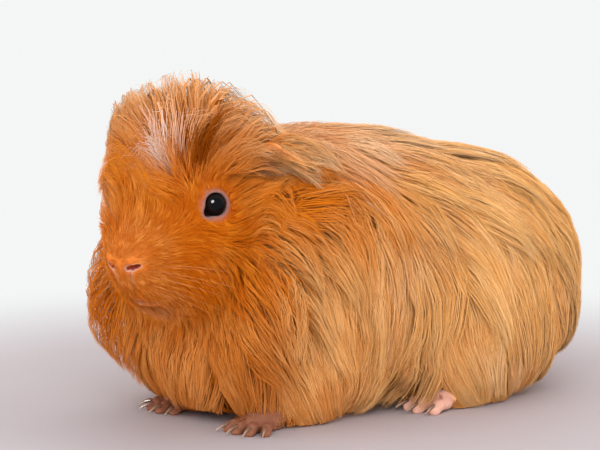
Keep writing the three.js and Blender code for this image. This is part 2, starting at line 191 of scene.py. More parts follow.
# Colours of the hair and of the bare skin.
GOLDEN, DEEP = (0.93, 0.455, 0.152, 1), (0.70, 0.165, 0.008, 1)
# The last colour below is painted shade, laid into the partings of the crest and of the body.
PALE, WHITE, SHADE = (0.96, 0.66, 0.44, 1), (0.97, 0.90, 0.82, 1), (0.30, 0.06, 0.003, 1)
# The first tint below darkens each hair towards its root: partly the hair's own colour, partly painted shade
# deep in the coat. The two tones are each lock's own.
ROOT_TINT_AND_SHADE, DARK_TONE, LIGHT_TONE = (0.95, 0.64, 0.34, 1), (0.80, 0.66, 0.46, 1), (1.06, 1.22, 1.5, 1)
# The tint below pales each hair towards its tip: partly the hair's own colour, partly painted light shining
# through it.
TIP_TINT_AND_LIGHT = (1.08, 1.25, 1.5, 1)
BROWN_SKIN, PINK_SKIN = (0.29, 0.115, 0.065, 1), (0.78, 0.43, 0.33, 1)
# The last colour of the next line is dark red: partly the nostrils' own colour, partly painted shade in the
# nostrils and ears.
LILAC_SKIN, NOSTRIL_RED_AND_SHADE = (0.27, 0.145, 0.13, 1), (0.20, 0.018, 0.006, 1)
BLOTCHES = (0.80, 0.70, 0.66, 1), (1.12, 1.15, 1.18, 1)

# Colours of the eye, with the edges of its pupil and iris in radians off its front, and of the claws.
PUPIL, DARK_IRIS, LIGHT_IRIS = (0.002, 0.002, 0.003, 1), (0.003, 0.002, 0.002, 1), (0.014, 0.006, 0.005, 1)
EYE_WHITE, PUPIL_EDGE, IRIS_EDGE = (0.06, 0.015, 0.012, 1), (0.42, 0.52), (0.98, 1.15)
DARK_HORN, LIGHT_HORN, HORN_TIP = (0.14, 0.06, 0.035, 1), (0.26, 0.13, 0.08, 1), (0.42, 0.28, 0.19, 1)

# The studio. The floor fades into the backdrop between two distances, in m. A light is its name, its place
# and size in mm, its power, and what it lights.
BACKDROP, FLOOR_FADE = (0.905, 0.925, 0.92, 1), (0.12, 0.29)
FLOOR_GRAIN = (0.44, 0.38, 0.40, 1), (0.46, 0.40, 0.42, 1)
LIGHTS = (
    ("top_light", (-250, 350, 900), 900, 1.7, "all"),
    ("back_light", (400, 750, 700), 900, 2.0, "matt"),
    ("front_light", (850, -600, 420), 1000, 6.6, "matt"),
    ("left_light", (-800, -900, 250), 900, 6.2, "matt"),
    ("eye_light", (735, -574, 583), 460, 42, "gloss"),
)


# ---------------------------------------------------------------- frames
def to_head(p):
    x, y, z = p[0], p[1] - PIVOT_Y, p[2]
    return x * math.sin(YAW) - y * math.cos(YAW), x * math.cos(YAW) + y * math.sin(YAW), z


def from_head(s, w, z):
    """The point (s, w, z) of the head in the animal's frame."""
    y = PIVOT_Y - s * math.cos(YAW) + w * math.sin(YAW)
    return np.array([s * math.sin(YAW) + w * math.cos(YAW), y, z])


def turn_from_head(ds, dw, dz):
    """A direction of the head's frame in the animal's frame."""
    return np.array([ds * math.sin(YAW) + dw * math.cos(YAW), dw * math.sin(YAW) - ds * math.cos(YAW), dz])


eye_low, eye_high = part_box("eye_left")
SHIFT = (np.array(eye_low) + np.array(eye_high)) / (2 * MM) - from_head(*EYE)


def to_world(points):
    """Points as rows, from the animal's frame in mm to the row's frame in m."""
    return (np.asarray(points) + SHIFT) * MM


# ---------------------------------------------------------------- fields
def smoothstep(low, high, value):
    t = np.clip((value - low) / (high - low), 0, 1)
    return t * t * (3 - 2 * t)


def ridge(gap, width):
    """1 on a line, and less and less beside it."""
    return np.exp(-((gap / width) ** 2))


def apart(p, place, radii=(1, 1, 1)):
    """How far points are from a place, in mm or as a share of the radii of a blob round it."""
    return np.sqrt(sum(((p[i] - place[i]) / radii[i]) ** 2 for i in range(3)))


def soft_min(a, b, k):
    h = np.maximum(k - np.abs(a - b), 0) / k
    return np.minimum(a, b) - h * h * k / 4


def soft_max(a, b, k):
    return -soft_min(-a, -b, k)


def blend(fields, k):
    return functools.reduce(lambda a, b: soft_min(a, b, k), fields)


def blob(p, centre, radii, pitch=0):
    """An ellipsoid as a distance field. pitch turns it in the plane of its first and third axis."""
    a, b, c = (p[i] - centre[i] for i in range(3))
    if pitch:
        cos, sin = math.cos(math.radians(pitch)), math.sin(math.radians(pitch))
        a, c = cos * a - sin * c, sin * a + cos * c
    far = np.sqrt((a / radii[0]) ** 2 + (b / radii[1]) ** 2 + (c / radii[2]) ** 2)
    steep = np.sqrt((a / radii[0] ** 2) ** 2 + (b / radii[1] ** 2) ** 2 + (c / radii[2] ** 2) ** 2)
    return far * (far - 1) / np.maximum(steep, 1e-6)


def bone(p, start, end, start_radius, end_radius):
    axis = np.subtract(end, start)
    d = [p[i] - start[i] for i in range(3)]
    t = np.clip(sum(d[i] * axis[i] for i in range(3)) / (axis @ axis), 0, 1)
    gap = np.sqrt(sum((d[i] - t * axis[i]) ** 2 for i in range(3)))
    return gap - (start_radius + t * (end_radius - start_radius))


def mirrored(centre, side):
    return (side * centre[0], *centre[1:])


def trunk_field(p, naked):
    def part(b, side=1):
        return blob(p, mirrored(b[0], side), np.subtract(b[1], naked * b[2]))

    parts = [part(SHOULDER), part(RUMP)]
    for side in (-1, 1):
        parts += [part(HAUNCH_SKIRT, side), part(SHOULDER_SKIRT, side)]
    return blend([*parts, part(RUFF), part(CHEST)], TRUNK_BLEND)


def head_field(q, naked):
    def part(b, side=1):
        (s, w, z), radii, depth, pitch = b
        return blob(q, (s, side * w, z), np.subtract(radii, naked * depth), pitch)

    parts = [part(SKULL), part(MUZZLE), part(BRIDGE), part(FOREHEAD), part(CHIN)]
    for side in (-1, 1):
        parts += [part(CHEEK, side), part(MANE, side)]
    return blend(parts, HEAD_BLEND)


def locks(p):
    """Shallow ridges that lean back as they fall, deepest near the hem."""
    fall = np.clip((105 - p[2]) / 105, 0, 1)
    phase = (p[1] - LOCK_LEAN * (105 - p[2])) / LOCK_WIDTH * 2 * math.pi
    return LOCK_DEPTH * fall * np.minimum(np.abs(p[0]) / 30, 1) * np.cos(phase)


def plain_field(p):
    """The outside of the coat without the crest and the hollows of the ears and eyes."""
    return soft_min(trunk_field(p, 0) + locks(p), head_field(to_head(p), 0), HEAD_BLEND)


def outline_field(p, bridge):
    """The outside of the coat. bridge is how far the hair passes over the hollows of the ears, in mm."""
    q = to_head(p)
    whole = plain_field(p)
    across, forward = q[1] - CREST[0][1], q[0] - CREST[0][0]
    reach = np.minimum(np.hypot(across, forward) / CREST[1][1], 1)
    mop = blob(q, *CREST) + CREST_DEPTH * reach * np.cos(CREST_TUFTS * np.arctan2(across, forward))
    crest = np.maximum(np.maximum(soft_min(mop, whole, HEAD_BLEND), mop - CREST_SKIRT), CREST_FLOOR - p[2])
    hollows = []
    for side in SIDES.values():
        for ((s, w, z), radii), shallower in ((EAR_HOLLOW, bridge), (SOCKET, 0)):
            hollows.append(blob(q, (s, side * w, z), radii) + shallower)
    return soft_max(np.minimum(whole, crest), -blend(hollows, 1), HOLLOW_BLEND)


def behind_partings(p):
    """How far a point lies behind the crease of the shoulder and behind the line on the haunch."""
    crease = p[1] - CREASE_Y - 2 - 12 * smoothstep(30, 5, p[2])
    return crease, p[1] - HAUNCH_LINE - HAUNCH_LEAN * (105 - p[2])


def on_side(p):
    """The sides of the body, where the hair parts."""
    return smoothstep(18, 36, np.abs(p[0])) * smoothstep(100, 80, p[2])


def coat_field(p, bridge, sunk):
    """The outline that the hair follows. Behind a parting, the hair is sunk under that before it."""
    q = to_head(p)
    dents = sum(share * ridge(gap, PARTING_WIDTH) for share, gap in zip(sunk, behind_partings(p)))
    field = outline_field(p, bridge) + PARTING_DEPTH * on_side(p) * dents
    field = soft_max(field, -blob(q, *CREST_PARTING), 3)
    for hand, side in SIDES.items():
        (s, w, z), radii = EAR_MOUTH
        field = soft_max(field, -blob(q, (s, side * w, z), radii), 3)
        field = soft_min(field, ear_field(p, side) - 0.5, 1)
        for kind, hood in HOODS.items():
            field = soft_min(field, blob(to_foot(p, FEET[kind], hand), *hood), 8)
    return field


def eye_axes():
    """The left eye's own axes in the head's frame: where it looks, forward and up."""
    look = np.array(EYE_LOOKS) / np.linalg.norm(EYE_LOOKS)
    ahead = np.array([look[1], -look[0], 0]) / math.hypot(look[0], look[1])
    return look, ahead, np.cross(look, ahead) * -1


def eye_frame(q, side):
    """A point of the head as seen from an eye: towards where it looks, forward and up, from its middle."""
    look, ahead, up = eye_axes()
    d = (q[0] - EYE[0], side * q[1] - EYE[1], q[2] - EYE[2])
    return tuple(d[0] * axis[0] + d[1] * axis[1] + d[2] * axis[2] for axis in (look, ahead, up))


def opening_field(q, side):
    """The teardrop opening between the lids, as a distance in the plane of the lids."""
    out, ahead, up = eye_frame(q, side)
    oval = (np.sqrt((ahead / OPENING[0]) ** 2 + (up / OPENING[1]) ** 2) - 1) * OPENING[1]
    corner = np.hypot(ahead - CANTHUS[0], up - CANTHUS[1]) - CANTHUS[2]
    return np.where(out > 0, soft_min(oval, corner, 2.2), 20)


def ear_place(p, side):
    """A point in the ear's own frame: across it, along it and through it."""
    length = np.array([
        side * math.cos(EAR_BACK) * math.cos(EAR_DROOP),
        math.sin(EAR_BACK) * math.cos(EAR_DROOP),
        -math.sin(EAR_DROOP),
    ])
    face = np.cross(length, (0, 0, 1)) * side
    face /= np.linalg.norm(face)
    across = np.cross(length, face)
    q = to_head(p)
    d = (q[1] - side * EAR[1], EAR[0] - q[0], q[2] - EAR[2])
    a, b, c = (d[0] * axis[0] + d[1] * axis[1] + d[2] * axis[2] for axis in (across, length, face))
    cos, sin = math.cos(side * EAR_ROLL), math.sin(side * EAR_ROLL)
    return cos * a - sin * c, b - EAR_LENGTH * 0.8, sin * a + cos * c


def ear_petal(p, side):
    """How far a point is out of the ear's outline, and how far before its cupped middle surface."""
    a, b, c = ear_place(p, side)
    v = b / EAR_LENGTH
    a = a / np.maximum(1 - 0.22 * v, 0.3)
    u = a / EAR_WIDTH
    c = c - EAR_CUP * (u * u + 0.25 * v * v - 0.4)
    wave = 1 + 0.05 * np.sin(5 * np.arctan2(v, u) + 1) * smoothstep(0.3, 0.9, np.hypot(u, v))
    return blob((a / wave, b / wave, 0 * c), (0, 0, 0), (EAR_WIDTH, EAR_LENGTH, 1)), c


def ear_field(p, side):
    """A cupped petal, broader at its root, with a rounded, thicker rim."""
    petal, c = ear_petal(p, side)
    rim = EAR_RIM * (1 + 0.5 * smoothstep(-3, -1, petal))
    return np.hypot(np.maximum(petal + rim, 0), c) - rim


def to_foot(p, foot, side_name):
    """A point in a foot's own frame: it points along -y, and its sole is at z = 0."""
    x, y, turn = foot[side_name]
    cos, sin = math.cos(math.radians(turn)), math.sin(math.radians(turn))
    dx, dy = p[0] - x, p[1] - y
    return cos * dx + sin * dy, cos * dy - sin * dx, p[2]


def from_foot(points, foot, side_name):
    """Rows of points of a foot's own frame, in the animal's frame."""
    x, y, turn = foot[side_name]
    cos, sin = math.cos(math.radians(turn)), math.sin(math.radians(turn))
    a, b, z = points.T
    return np.stack([x + cos * a - sin * b, y + sin * a + cos * b, z], 1)


def toe_place(foot, index):
    """The turn of a toe in its foot, in radians, and its middle in the turned frame."""
    offset = index - (foot["toes"] - 1) / 2
    reach = foot["palm"][1] * 0.58 + foot["length"] * (0.85 - 0.4 * abs(offset) / foot["toes"])
    middle = (offset * foot["radius"], -reach, foot["radius"] - SOLE_PRESS)
    return math.radians(foot["spread"]) * offset, middle


def toe_field(f, foot, index):
    """A toe with an arched knuckle and a round pad under its tip."""
    turn, middle = toe_place(foot, index)
    a = math.cos(turn) * f[0] + math.sin(turn) * f[1] - middle[0]
    b = math.cos(turn) * f[1] - math.sin(turn) * f[0] - middle[1]
    c = f[2] - middle[2]
    half, radius = foot["length"] * 0.62, foot["radius"]
    shaft = bone((a, b, c), (0, half * 0.9, 0.9), (0, -half * 0.1, 0.7), radius * 0.86, radius * 0.74)
    tip = bone((a, b, c), (0, -half * 0.1, 0.7), (0, -half * 0.72, -0.5), radius * 0.74, radius * 0.62)
    pad = blob((a, b, c), (0, -half * 0.55, -0.9), (radius * 0.7, 2.1, radius * 0.62))
    return blend([shaft, tip, pad], 1.0)


def leg_field(p, foot, side_name):
    side = SIDES[side_name]
    x, y, _ = foot[side_name]
    joints = [(x + side * dx, y + dy, z) for dx, dy, z in foot["joints"]]
    radii = foot["radii"]
    bones = [bone(p, joints[i], joints[i + 1], radii[i], radii[i + 1]) for i in range(len(joints) - 1)]
    f = to_foot(p, foot, side_name)
    palm = blob(f, (0, 0, foot["palm"][2] - SOLE_PRESS), foot["palm"])
    toes = functools.reduce(np.minimum, [toe_field(f, foot, i) for i in range(foot["toes"])])
    return soft_min(blend([*bones, palm], 5), toes, 1.6)


def nose_folds(q):
    """How far the skin of the nose and the lips stands back (+) or out (-)."""
    s, w, z = q
    side = np.abs(w)
    front = smoothstep(62, 70, s)
    wing = 0.8 * np.exp(-(((side - 5.2) / 2.6) ** 2) - ((z - 64.8) / 2.0) ** 2)
    groove_at = 3.4 * np.clip((z - MOUTH_Z) / 13, 0, 1) + 0.2
    groove = 0.75 * ridge(side - groove_at, 0.8) * smoothstep(47, 50, z) * smoothstep(64, 60, z)
    line = MOUTH_Z - 0.012 * side**2
    mouth = smoothstep(MOUTH_HALF_WIDTH + 1, MOUTH_HALF_WIDTH - 2, side)
    slit = 1.5 * ridge(z - line, 0.7) * mouth
    lower = 0.9 * ridge(z - line + 2.2, 1.3) * mouth
    return front * (groove + slit - wing - lower)


def nostril_field(q):
    (s, w, z), half, radius = NOSTRIL
    folded = (q[0], np.abs(q[1]), q[2])
    return bone(folded, (s + 0.6, w - half, z - 0.9), (s - 1.2, w + half, z + 0.5), radius, radius * 0.7)


def skin_field(p):
    """The animal under its coat, its soles pressed flat on the ground."""
    q = to_head(p)
    whole = soft_min(trunk_field(p, 1), head_field(q, 1) + nose_folds(q), 14)
    whole = soft_max(whole, -nostril_field(q), 0.8)
    for name, side in SIDES.items():
        out, ahead, up = eye_frame(q, side)
        ball = np.sqrt(out**2 + ahead**2 + up**2)
        whole = soft_min(whole, ball - LID_RADIUS, LID_BLEND)
        whole = soft_max(whole, -np.maximum(opening_field(q, side), EYE_RADIUS - 0.5 - ball), 0.7)
        whole = soft_min(whole, ear_field(p, side), 3.5)
        for foot in FEET.values():
            whole = soft_min(whole, leg_field(p, foot, name), 6)
    return np.maximum(whole, -p[2])


def gradient(field, p, reach=0.3):
    """The field's slope at each point, by differences over the corners of a tetrahedron."""
    slope = np.zeros_like(p)
    for corner in ((1, -1, -1), (-1, -1, 1), (-1, 1, -1), (1, 1, 1)):
        corner = np.array(corner, np.float32)[:, None]
        slope += corner * field(p + reach * corner)
    return slope / (4 * reach)


def unit(v):
    return v / np.maximum(np.sqrt((v * v).sum(0)), 1e-9)


# ---------------------------------------------------------------- the skin's mesh
def surface_net(field, axes):
    """A closed quad mesh on the field's zero level: one vertex in each grid cell that the level crosses."""
    slabs = [
        field((axes[0][i : i + 12, None, None], axes[1][None, :, None], axes[2][None, None, :]))
        for i in range(0, len(axes[0]), 12)
    ]
    grid = np.concatenate(slabs)
    inside = grid < 0
    cells = np.array(grid.shape) - 1
    positions, owners, quads = [], [], []
    for a in range(3):
        b, c = (a + 1) % 3, (a + 2) % 3
        low = tuple(slice(0, -1) if d == a else slice(None) for d in range(3))
        high = tuple(slice(1, None) if d == a else slice(None) for d in range(3))
        crossed = inside[low] != inside[high]
        index = np.argwhere(crossed)
        share = grid[low][crossed] / (grid[low][crossed] - grid[high][crossed])
        point = np.stack([axes[d][index[:, d]] for d in range(3)], 1)
        point[:, a] += share * (axes[a][index[:, a] + 1] - axes[a][index[:, a]])
        around = []
        for db, dc in ((-1, -1), (0, -1), (0, 0), (-1, 0)):
            cell = index.copy()
            cell[:, b] += db
            cell[:, c] += dc
            around.append(np.ravel_multi_index(cell.T, cells))
            positions.append(point)
            owners.append(around[-1])
        quad = np.stack(around, 1)
        facing_back = ~inside[low][crossed]
        quad[facing_back] = quad[facing_back][:, ::-1]
        quads.append(quad)
    used, slots = np.unique(np.concatenate(owners), return_inverse=True)
    count = np.bincount(slots)
    positions = np.concatenate(positions)
    vertices = np.stack([np.bincount(slots, positions[:, d]) / count for d in range(3)])
    return vertices, np.searchsorted(used, np.concatenate(quads))


def settle(field, p, rounds=2):
    """Moves points onto the field's zero level."""
    for _ in range(rounds):
        slope = gradient(field, p)
        steep = np.maximum((slope * slope).sum(0), 0.2)
        p = p - np.clip(field(p), -1, 1) * slope / steep
    return p


def steps(*stretches):
    """Grid lines: each stretch is (from, to, spacing)."""
    lines = [np.linspace(a, b, max(2, round((b - a) / gap)), endpoint=False) for a, b, gap in stretches]
    return np.concatenate([*lines, [stretches[-1][1]]]).astype(np.float32)


def build_mesh(name, vertices, faces):
    """A mesh object from rows of points in the animal's frame and rows of faces with as many corners each."""
    mesh = bpy.data.meshes.new(name)
    mesh.vertices.add(len(vertices))
    mesh.vertices.foreach_set("co", to_world(vertices).astype(np.float32).ravel())
    corners = faces.shape[1]
    mesh.loops.add(faces.size)
    mesh.loops.foreach_set("vertex_index", faces.astype(np.int32).ravel())
    mesh.polygons.add(len(faces))
    mesh.polygons.foreach_set("loop_start", np.arange(0, faces.size, corners, dtype=np.int32))
    mesh.update(calc_edges=True)
    mesh.shade_smooth()
    obj = bpy.data.objects.new(name, mesh)
    bpy.context.scene.collection.objects.link(obj)
    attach(obj, "root")
    return obj


def build_skin():
    axes = (
        steps((-58, -32, COARSE), (-32, 58, FINE), (58, 62, COARSE)),
        steps((-118, -26, FINE), (-26, 2, FINE * 2), (2, 42, FINE * 1.3), (42, 112, COARSE)),
        steps((-2, 12, FINE), (12, 44, COARSE), (44, 106, FINE)),
    )
    p, quads = surface_net(skin_field, axes)
    p = settle(skin_field, p)
    p[2] = np.maximum(p[2], 0)
    return build_mesh("skin", p.T, quads), p, quads


# ---------------------------------------------------------------- the lie, length and colour of the coat
def mix(a, b, share):
    return a + (b - a) * share


def ripple(p, width, seed):
    """A smooth random value of about -1 to 1 that changes over the given width."""
    rng = np.random.default_rng(seed)
    total = 0
    for _ in range(5):
        wave = rng.normal(size=3)
        wave *= 2 * math.pi / (width * rng.uniform(1.2, 3.0)) / np.linalg.norm(wave)
        total = total + np.sin(wave[0] * p[0] + wave[1] * p[1] + wave[2] * p[2] + rng.uniform(0, 2 * math.pi))
    return total / math.sqrt(5)


def arc(p, middle, radius, least):
    """Hair that runs back over the body and turns down, round a middle (y, z)."""
    back = np.maximum((p[2] - middle[1]) / radius, least)
    down = (p[1] - middle[0]) / radius
    return np.stack([0 * back, back, -down])


def crest_share(p):
    s, w, z = to_head(p)
    low = mix(87, 78, smoothstep(50, 60, s))
    share = smoothstep(low, low + 10, z) * smoothstep(-6, 6, s) * smoothstep(72, 62, s)
    return share * smoothstep(27, 18, np.abs(w))


def brow_share(p):
    """Where the hair between and beyond the eyes stands up."""
    s, w, z = to_head(p)
    return smoothstep(67, 76, z) * smoothstep(47, 55, s) * smoothstep(79, 72, s) * smoothstep(8, -1, w)


def ear_share(p):
    on_ear = [smoothstep(0.8, 0.3, np.abs(ear_field(p, side))) * smoothstep(-9, -5, ear_place(p, side)[1])
              for side in SIDES.values()]
    return np.maximum(*on_ear)


def head_share(p):
    s, w, z = to_head(p)
    return smoothstep(-16, 12, s - 0.35 * np.maximum(z - 80, 0))


def away_from(p, place):
    """The direction from a place of the head to each point, and the distance."""
    away = p - from_head(*place)[:, None]
    far = np.sqrt((away * away).sum(0))
    return away / np.maximum(far, 1), far


def around_eye(p, side):
    """The way that leads from an eye along its lids, how far off the eye is, and how far out a point is."""
    out, ahead, up = eye_frame(to_head(p), side)
    look, forward, upward = eye_axes()
    near = np.hypot(ahead, up)
    away = (ahead * forward[:, None] + up * upward[:, None]) / np.maximum(near, 0.5)
    return turn_from_head(away[0], side * away[1], away[2]), near, out


def flow(p):
    """Which way the hair lies at each point, before it is laid along the surface."""
    s, w, z = to_head(p)
    group = smoothstep(CREASE_Y - 6, CREASE_Y + 6, p[1] - 0.10 * (60 - z))
    body = mix(arc(p, *SHOULDER_ARC), arc(p, *RUMP_ARC), group)
    body[0] += mix(0.3, 0.9, smoothstep(5, -30, p[1])) * np.tanh(p[0] / 14) * smoothstep(70, 100, z)
    body[2] -= 0.4
    away, far = away_from(p, NOSE)
    falls = 1.7 * smoothstep(18, 45, far) * smoothstep(86, 58, z) + 0.15
    brow = 0.7 * smoothstep(72, 84, z) * smoothstep(30, 48, s)
    away[2] += brow - falls * (1 - brow)
    mop = unit(away_from(p, CREST_SPRING)[0] + turn_from_head(*CREST_SWEEP)[:, None])
    way = mix(unit(body), mix(unit(away), mop, crest_share(p)), head_share(p))
    for side in SIDES.values():
        aside, near, out = around_eye(p, side)
        way = way + aside * 1.6 * smoothstep(11, 5, near) * (out > -2)
    return way


def wander(p):
    """How far the lie turns aside in slow waves, in radians."""
    return 0.16 * ripple(p, 38, 3)


def streaks(p, width, seed):
    """A random value of about -1 to 1 that changes across the lie of the hair, but hardly along it."""
    way = unit(flow(p))
    reach = np.linspace(-3.5, 3.5, 7) * width
    return sum(ripple(p + way * far, width, seed) for far in reach) / math.sqrt(len(reach))


def ribbons(p):
    """The streaks that lie in light and dark ribbons over the coat."""
    return streaks(p, 7, 31)


def hair_length(p):
    s, w, z = to_head(p)
    far = away_from(p, NOSE)[1]
    length = np.interp(far, *LENGTH_FROM_NOSE)
    # Low on the body it is long enough to hang to the hem.
    length = np.where((length > 30) & (z < 46), np.maximum(length, 1.1 * z + 9), length)
    length = mix(length, np.maximum(length, 15), brow_share(p))
    length = mix(length, 4.5, ear_share(p))
    for place, share, reach in SHORT_ROUND:
        for side in SIDES.values():
            length = length * mix(share, 1, smoothstep(6, reach, apart((s, side * w, z), place)))
    in_crest = CREST_HAIR * mix(0.5, 1, smoothstep(62, 46, s)) * mix(0.55, 1, smoothstep(-18, 0, w))
    length = mix(length, in_crest * mix(0.6, 1, smoothstep(2, 24, s)), crest_share(p))
    length = mix(length, np.minimum(length, 14), smoothstep(16, 9, z))
    for name, side in SIDES.items():
        for foot in FEET.values():
            on_leg = smoothstep(1.2, 0.4, np.abs(leg_field(p, foot, name)))
            short = np.interp(z, *LENGTH_UP_LEG)
            short = mix(short, 13, smoothstep(-4, 2, to_foot(p, foot, name)[1] - foot["bare"]) * (z < 13))
            length = mix(length, np.minimum(length, short), on_leg)
    return length


def nose_line(q):
    """How near a point is to the pale line that runs from each nostril to the mouth."""
    s, w, z = q
    line = 3.6 * np.clip((z - MOUTH_Z) / 13, 0, 1) + 0.6
    near = smoothstep(1.3, 0.5, np.abs(np.abs(w) - line))
    return near * smoothstep(47, 49, z) * smoothstep(64, 62, z) * (s > 66)


def lips(q):
    s, w, z = q
    line = MOUTH_Z - 0.012 * w**2
    between = smoothstep(MOUTH_HALF_WIDTH + 1, MOUTH_HALF_WIDTH - 1, np.abs(w))
    return smoothstep(1.3, 0.7, np.abs(z - line + 0.3)) * between * (s > 60)


def bareness(p):
    """1 where no hair grows, as on the lids, lips and soles, and less where it is thin, as in the ears."""
    q = to_head(p)
    bare = smoothstep(2.2, 1.0, p[2])
    bare = np.maximum(bare, smoothstep(1.0, 0.4, nostril_field(q)))
    bare = np.maximum(bare, np.maximum(lips(q), 0.35 * nose_line(q)))
    for hand, side in SIDES.items():
        for foot in FEET.values():
            on_foot = smoothstep(1.2, 0.4, np.abs(leg_field(p, foot, hand))) * smoothstep(12, 8, p[2])
            in_front = smoothstep(6, -3, to_foot(p, foot, hand)[1] - foot["bare"])
            bare = np.maximum(bare, 0.75 * on_foot * in_front)
        opening = opening_field(q, side)
        bare = np.maximum(bare, smoothstep(LID_RIM + 0.7, LID_RIM, opening))
        bare = np.maximum(bare, 0.35 * smoothstep(LID_RIM + 3.6, LID_RIM + 1, opening))
        petal, before = ear_petal(p, side)
        inside = smoothstep(-2.2, -3.8, petal) * (before > 0) * (np.abs(ear_field(p, side)) < 0.4)
        bare = np.maximum(bare, 0.4 * inside)
    return bare


def skin_tints(p):
    """How pink, how lilac and how dark red the bare skin is; the dark red is partly the nostrils' own colour
    and partly painted shade in the nostrils and towards the roots of the ears. Where it is none of these, it
    is brown.
    """
    q = to_head(p)
    hind = smoothstep(-20, 0, p[1])
    pink = np.maximum(hind, np.maximum(lips(q), nose_line(q)))
    pink = np.maximum(pink, smoothstep(1.4, 0.7, nostril_field(q)))
    lilac = 0 * pink
    # The dark red of the nostrils is partly their own colour and partly painted shade in them.
    red = smoothstep(0.6, 0.1, nostril_field(q))
    for side in SIDES.values():
        opening = opening_field(q, side)
        lilac = np.maximum(lilac, smoothstep(3.6, 1.0, opening))
        a, b, c = ear_place(p, side)
        on_ear = np.abs(ear_field(p, side)) < 0.6
        pink = np.maximum(pink, 0.15 * on_ear)
        # Painted shade: each ear turns dark red towards its root.
        red = np.maximum(red, 0.6 * on_ear * smoothstep(-3, -10, b))
    return np.stack([pink, lilac, red])


def markings_light_and_shade(p):
    """How deep orange, how pale and how white (+) or dark with painted shade (-) the coat is, for skin and
    hair alike. Some of the deep orange and the pale is painted shade and light as well.
    """
    q = s, w, z = to_head(p)
    head = head_share(p)
    crest = crest_share(p)
    # Painted shade: the chest under the head is made more deeply orange and darker.
    chest = smoothstep(50, 24, z) * smoothstep(-10, -48, p[1])
    front = np.interp(s, *ORANGE_ALONG_HEAD)
    # Less orange: the outer mane, the rear of the crest, the muzzle, the lower chest and the ears.
    front = front * (1 - 0.75 * smoothstep(24, 34, np.abs(w)) * smoothstep(44, 30, s) * smoothstep(76, 62, z))
    front = front * (1 - 0.2 * crest * smoothstep(50, 32, s))
    front = front - 0.12 * smoothstep(58, 74, s)
    front = front * (1 - 0.25 * smoothstep(58, 35, z) * smoothstep(-45, -60, p[1])) * (1 - 0.6 * ear_share(p))
    # More orange: the lower shoulder, which is painted shade low on the body, and the nape behind the crest.
    front = front + 0.15 * smoothstep(75, 45, z) * smoothstep(5, -20, p[1]) * smoothstep(-62, -45, p[1])
    front = front + 0.25 * smoothstep(75, 90, z) * smoothstep(-34, -14, s) * smoothstep(20, 8, s)
    deep = np.clip(np.maximum(front, 0.5 * chest) + 0.16 * streaks(p, 6, 5) * (1 - 0.7 * head), 0, 1)
    # Painted light: the coat is paler high on the back, where the light from above falls.
    pale = (0.55 * smoothstep(80, 104, z) + 0.1 * ripple(p, 15, 6)) * (1 - head) + 0.15 * ear_share(p)
    pale = pale + 0.15 * head * smoothstep(78, 96, z) * smoothstep(14, 2, s)
    snout = smoothstep(72, 78, s) * 0.03 + smoothstep(50, 44, z) * smoothstep(54, 62, s) * 0.15
    # Painted light: the far side of the brow is paler, as if lit from behind.
    far_brow = 0.25 * smoothstep(-4, -11, w) * smoothstep(68, 82, z) * smoothstep(45, 52, s)
    pale = np.clip(pale + snout + far_brow, 0, 1)
    # Painted shade, laid on towards SHADE: the crest's parting, partly also its own darker hair, and a band
    # behind each parting on the sides of the body.
    dark = smoothstep(1.4, 0.6, apart(q, *DARK_HAIR_AND_SHADE))
    parts = on_side(p) * smoothstep(6, 20, p[2])
    for gap in behind_partings(p):
        dark = dark + 0.4 * parts * ridge(gap - 1, 2.2)
    return np.stack([deep, pale, 0.62 * smoothstep(1.2, 0.5, apart(q, *STREAK)) - dark])


def deeper(marks, amount):
    """Painted shade: the coat's colours made more deeply orange and darker, for hair that lies inside the coat
    and is shaded by the hair over it.
    """
    deep, pale, white = marks
    return np.stack([np.clip(deep + amount, 0, 1), pale * np.clip(1 - amount, 0, 1), white])


# ---------------------------------------------------------------- hair
def sample_roots(p, quads, uv, density, rng):
    """Random places on the skin: points, outward normals, and places on its unwrap."""
    triangles = np.concatenate([quads[:, (0, 1, 2)], quads[:, (0, 2, 3)]])
    corners_uv = np.concatenate([uv[:, (0, 1, 2)], uv[:, (0, 2, 3)]])
    a, b, c = (p[:, triangles[:, i]] for i in range(3))
    square = np.cross(b - a, c - a, axis=0)
    area = np.linalg.norm(square, axis=0) / 2
    middle = (a + b + c) / 3
    underneath = smoothstep(0.5, 0.9, -square[2] / (2 * area + 1e-9)) * (middle[2] < 25)
    expected = area * density(middle) * (1 - 0.75 * underneath)
    count = rng.poisson(expected)
    chosen = np.repeat(np.arange(len(triangles)), count)
    r1, r2 = np.sqrt(rng.random(len(chosen))), rng.random(len(chosen))
    shares = np.stack([1 - r1, r1 * (1 - r2), r1 * r2])
    roots = sum(shares[i] * corner[:, chosen] for i, corner in enumerate((a, b, c)))
    places = np.einsum("in,nij->nj", shares, corners_uv[chosen])
    return roots, places


def hair_density(p):
    """Hairs for each square millimetre of skin."""
    length = hair_length(p)
    hairs = np.interp(length, *DENSITY_BY_LENGTH)
    near_side = mix(0.75, 1.15, smoothstep(-12, 12, p[0]))
    low = mix(0.7, 1, smoothstep(4, 13, p[2]))
    return COAT_SHARE * (1 - bareness(p)) * hairs * near_side * low * (1 + 1.2 * crest_share(p))


def undercoat_density(p):
    return hair_density(p) * UNDERCOAT_SHARE * smoothstep(10, 18, hair_length(p)) / COAT_SHARE


def turned(v, axis, angle):
    """Rotates v about axis, a unit vector that is square to it."""
    return v * np.cos(angle) + np.cross(axis, v, axis=0) * np.sin(angle)


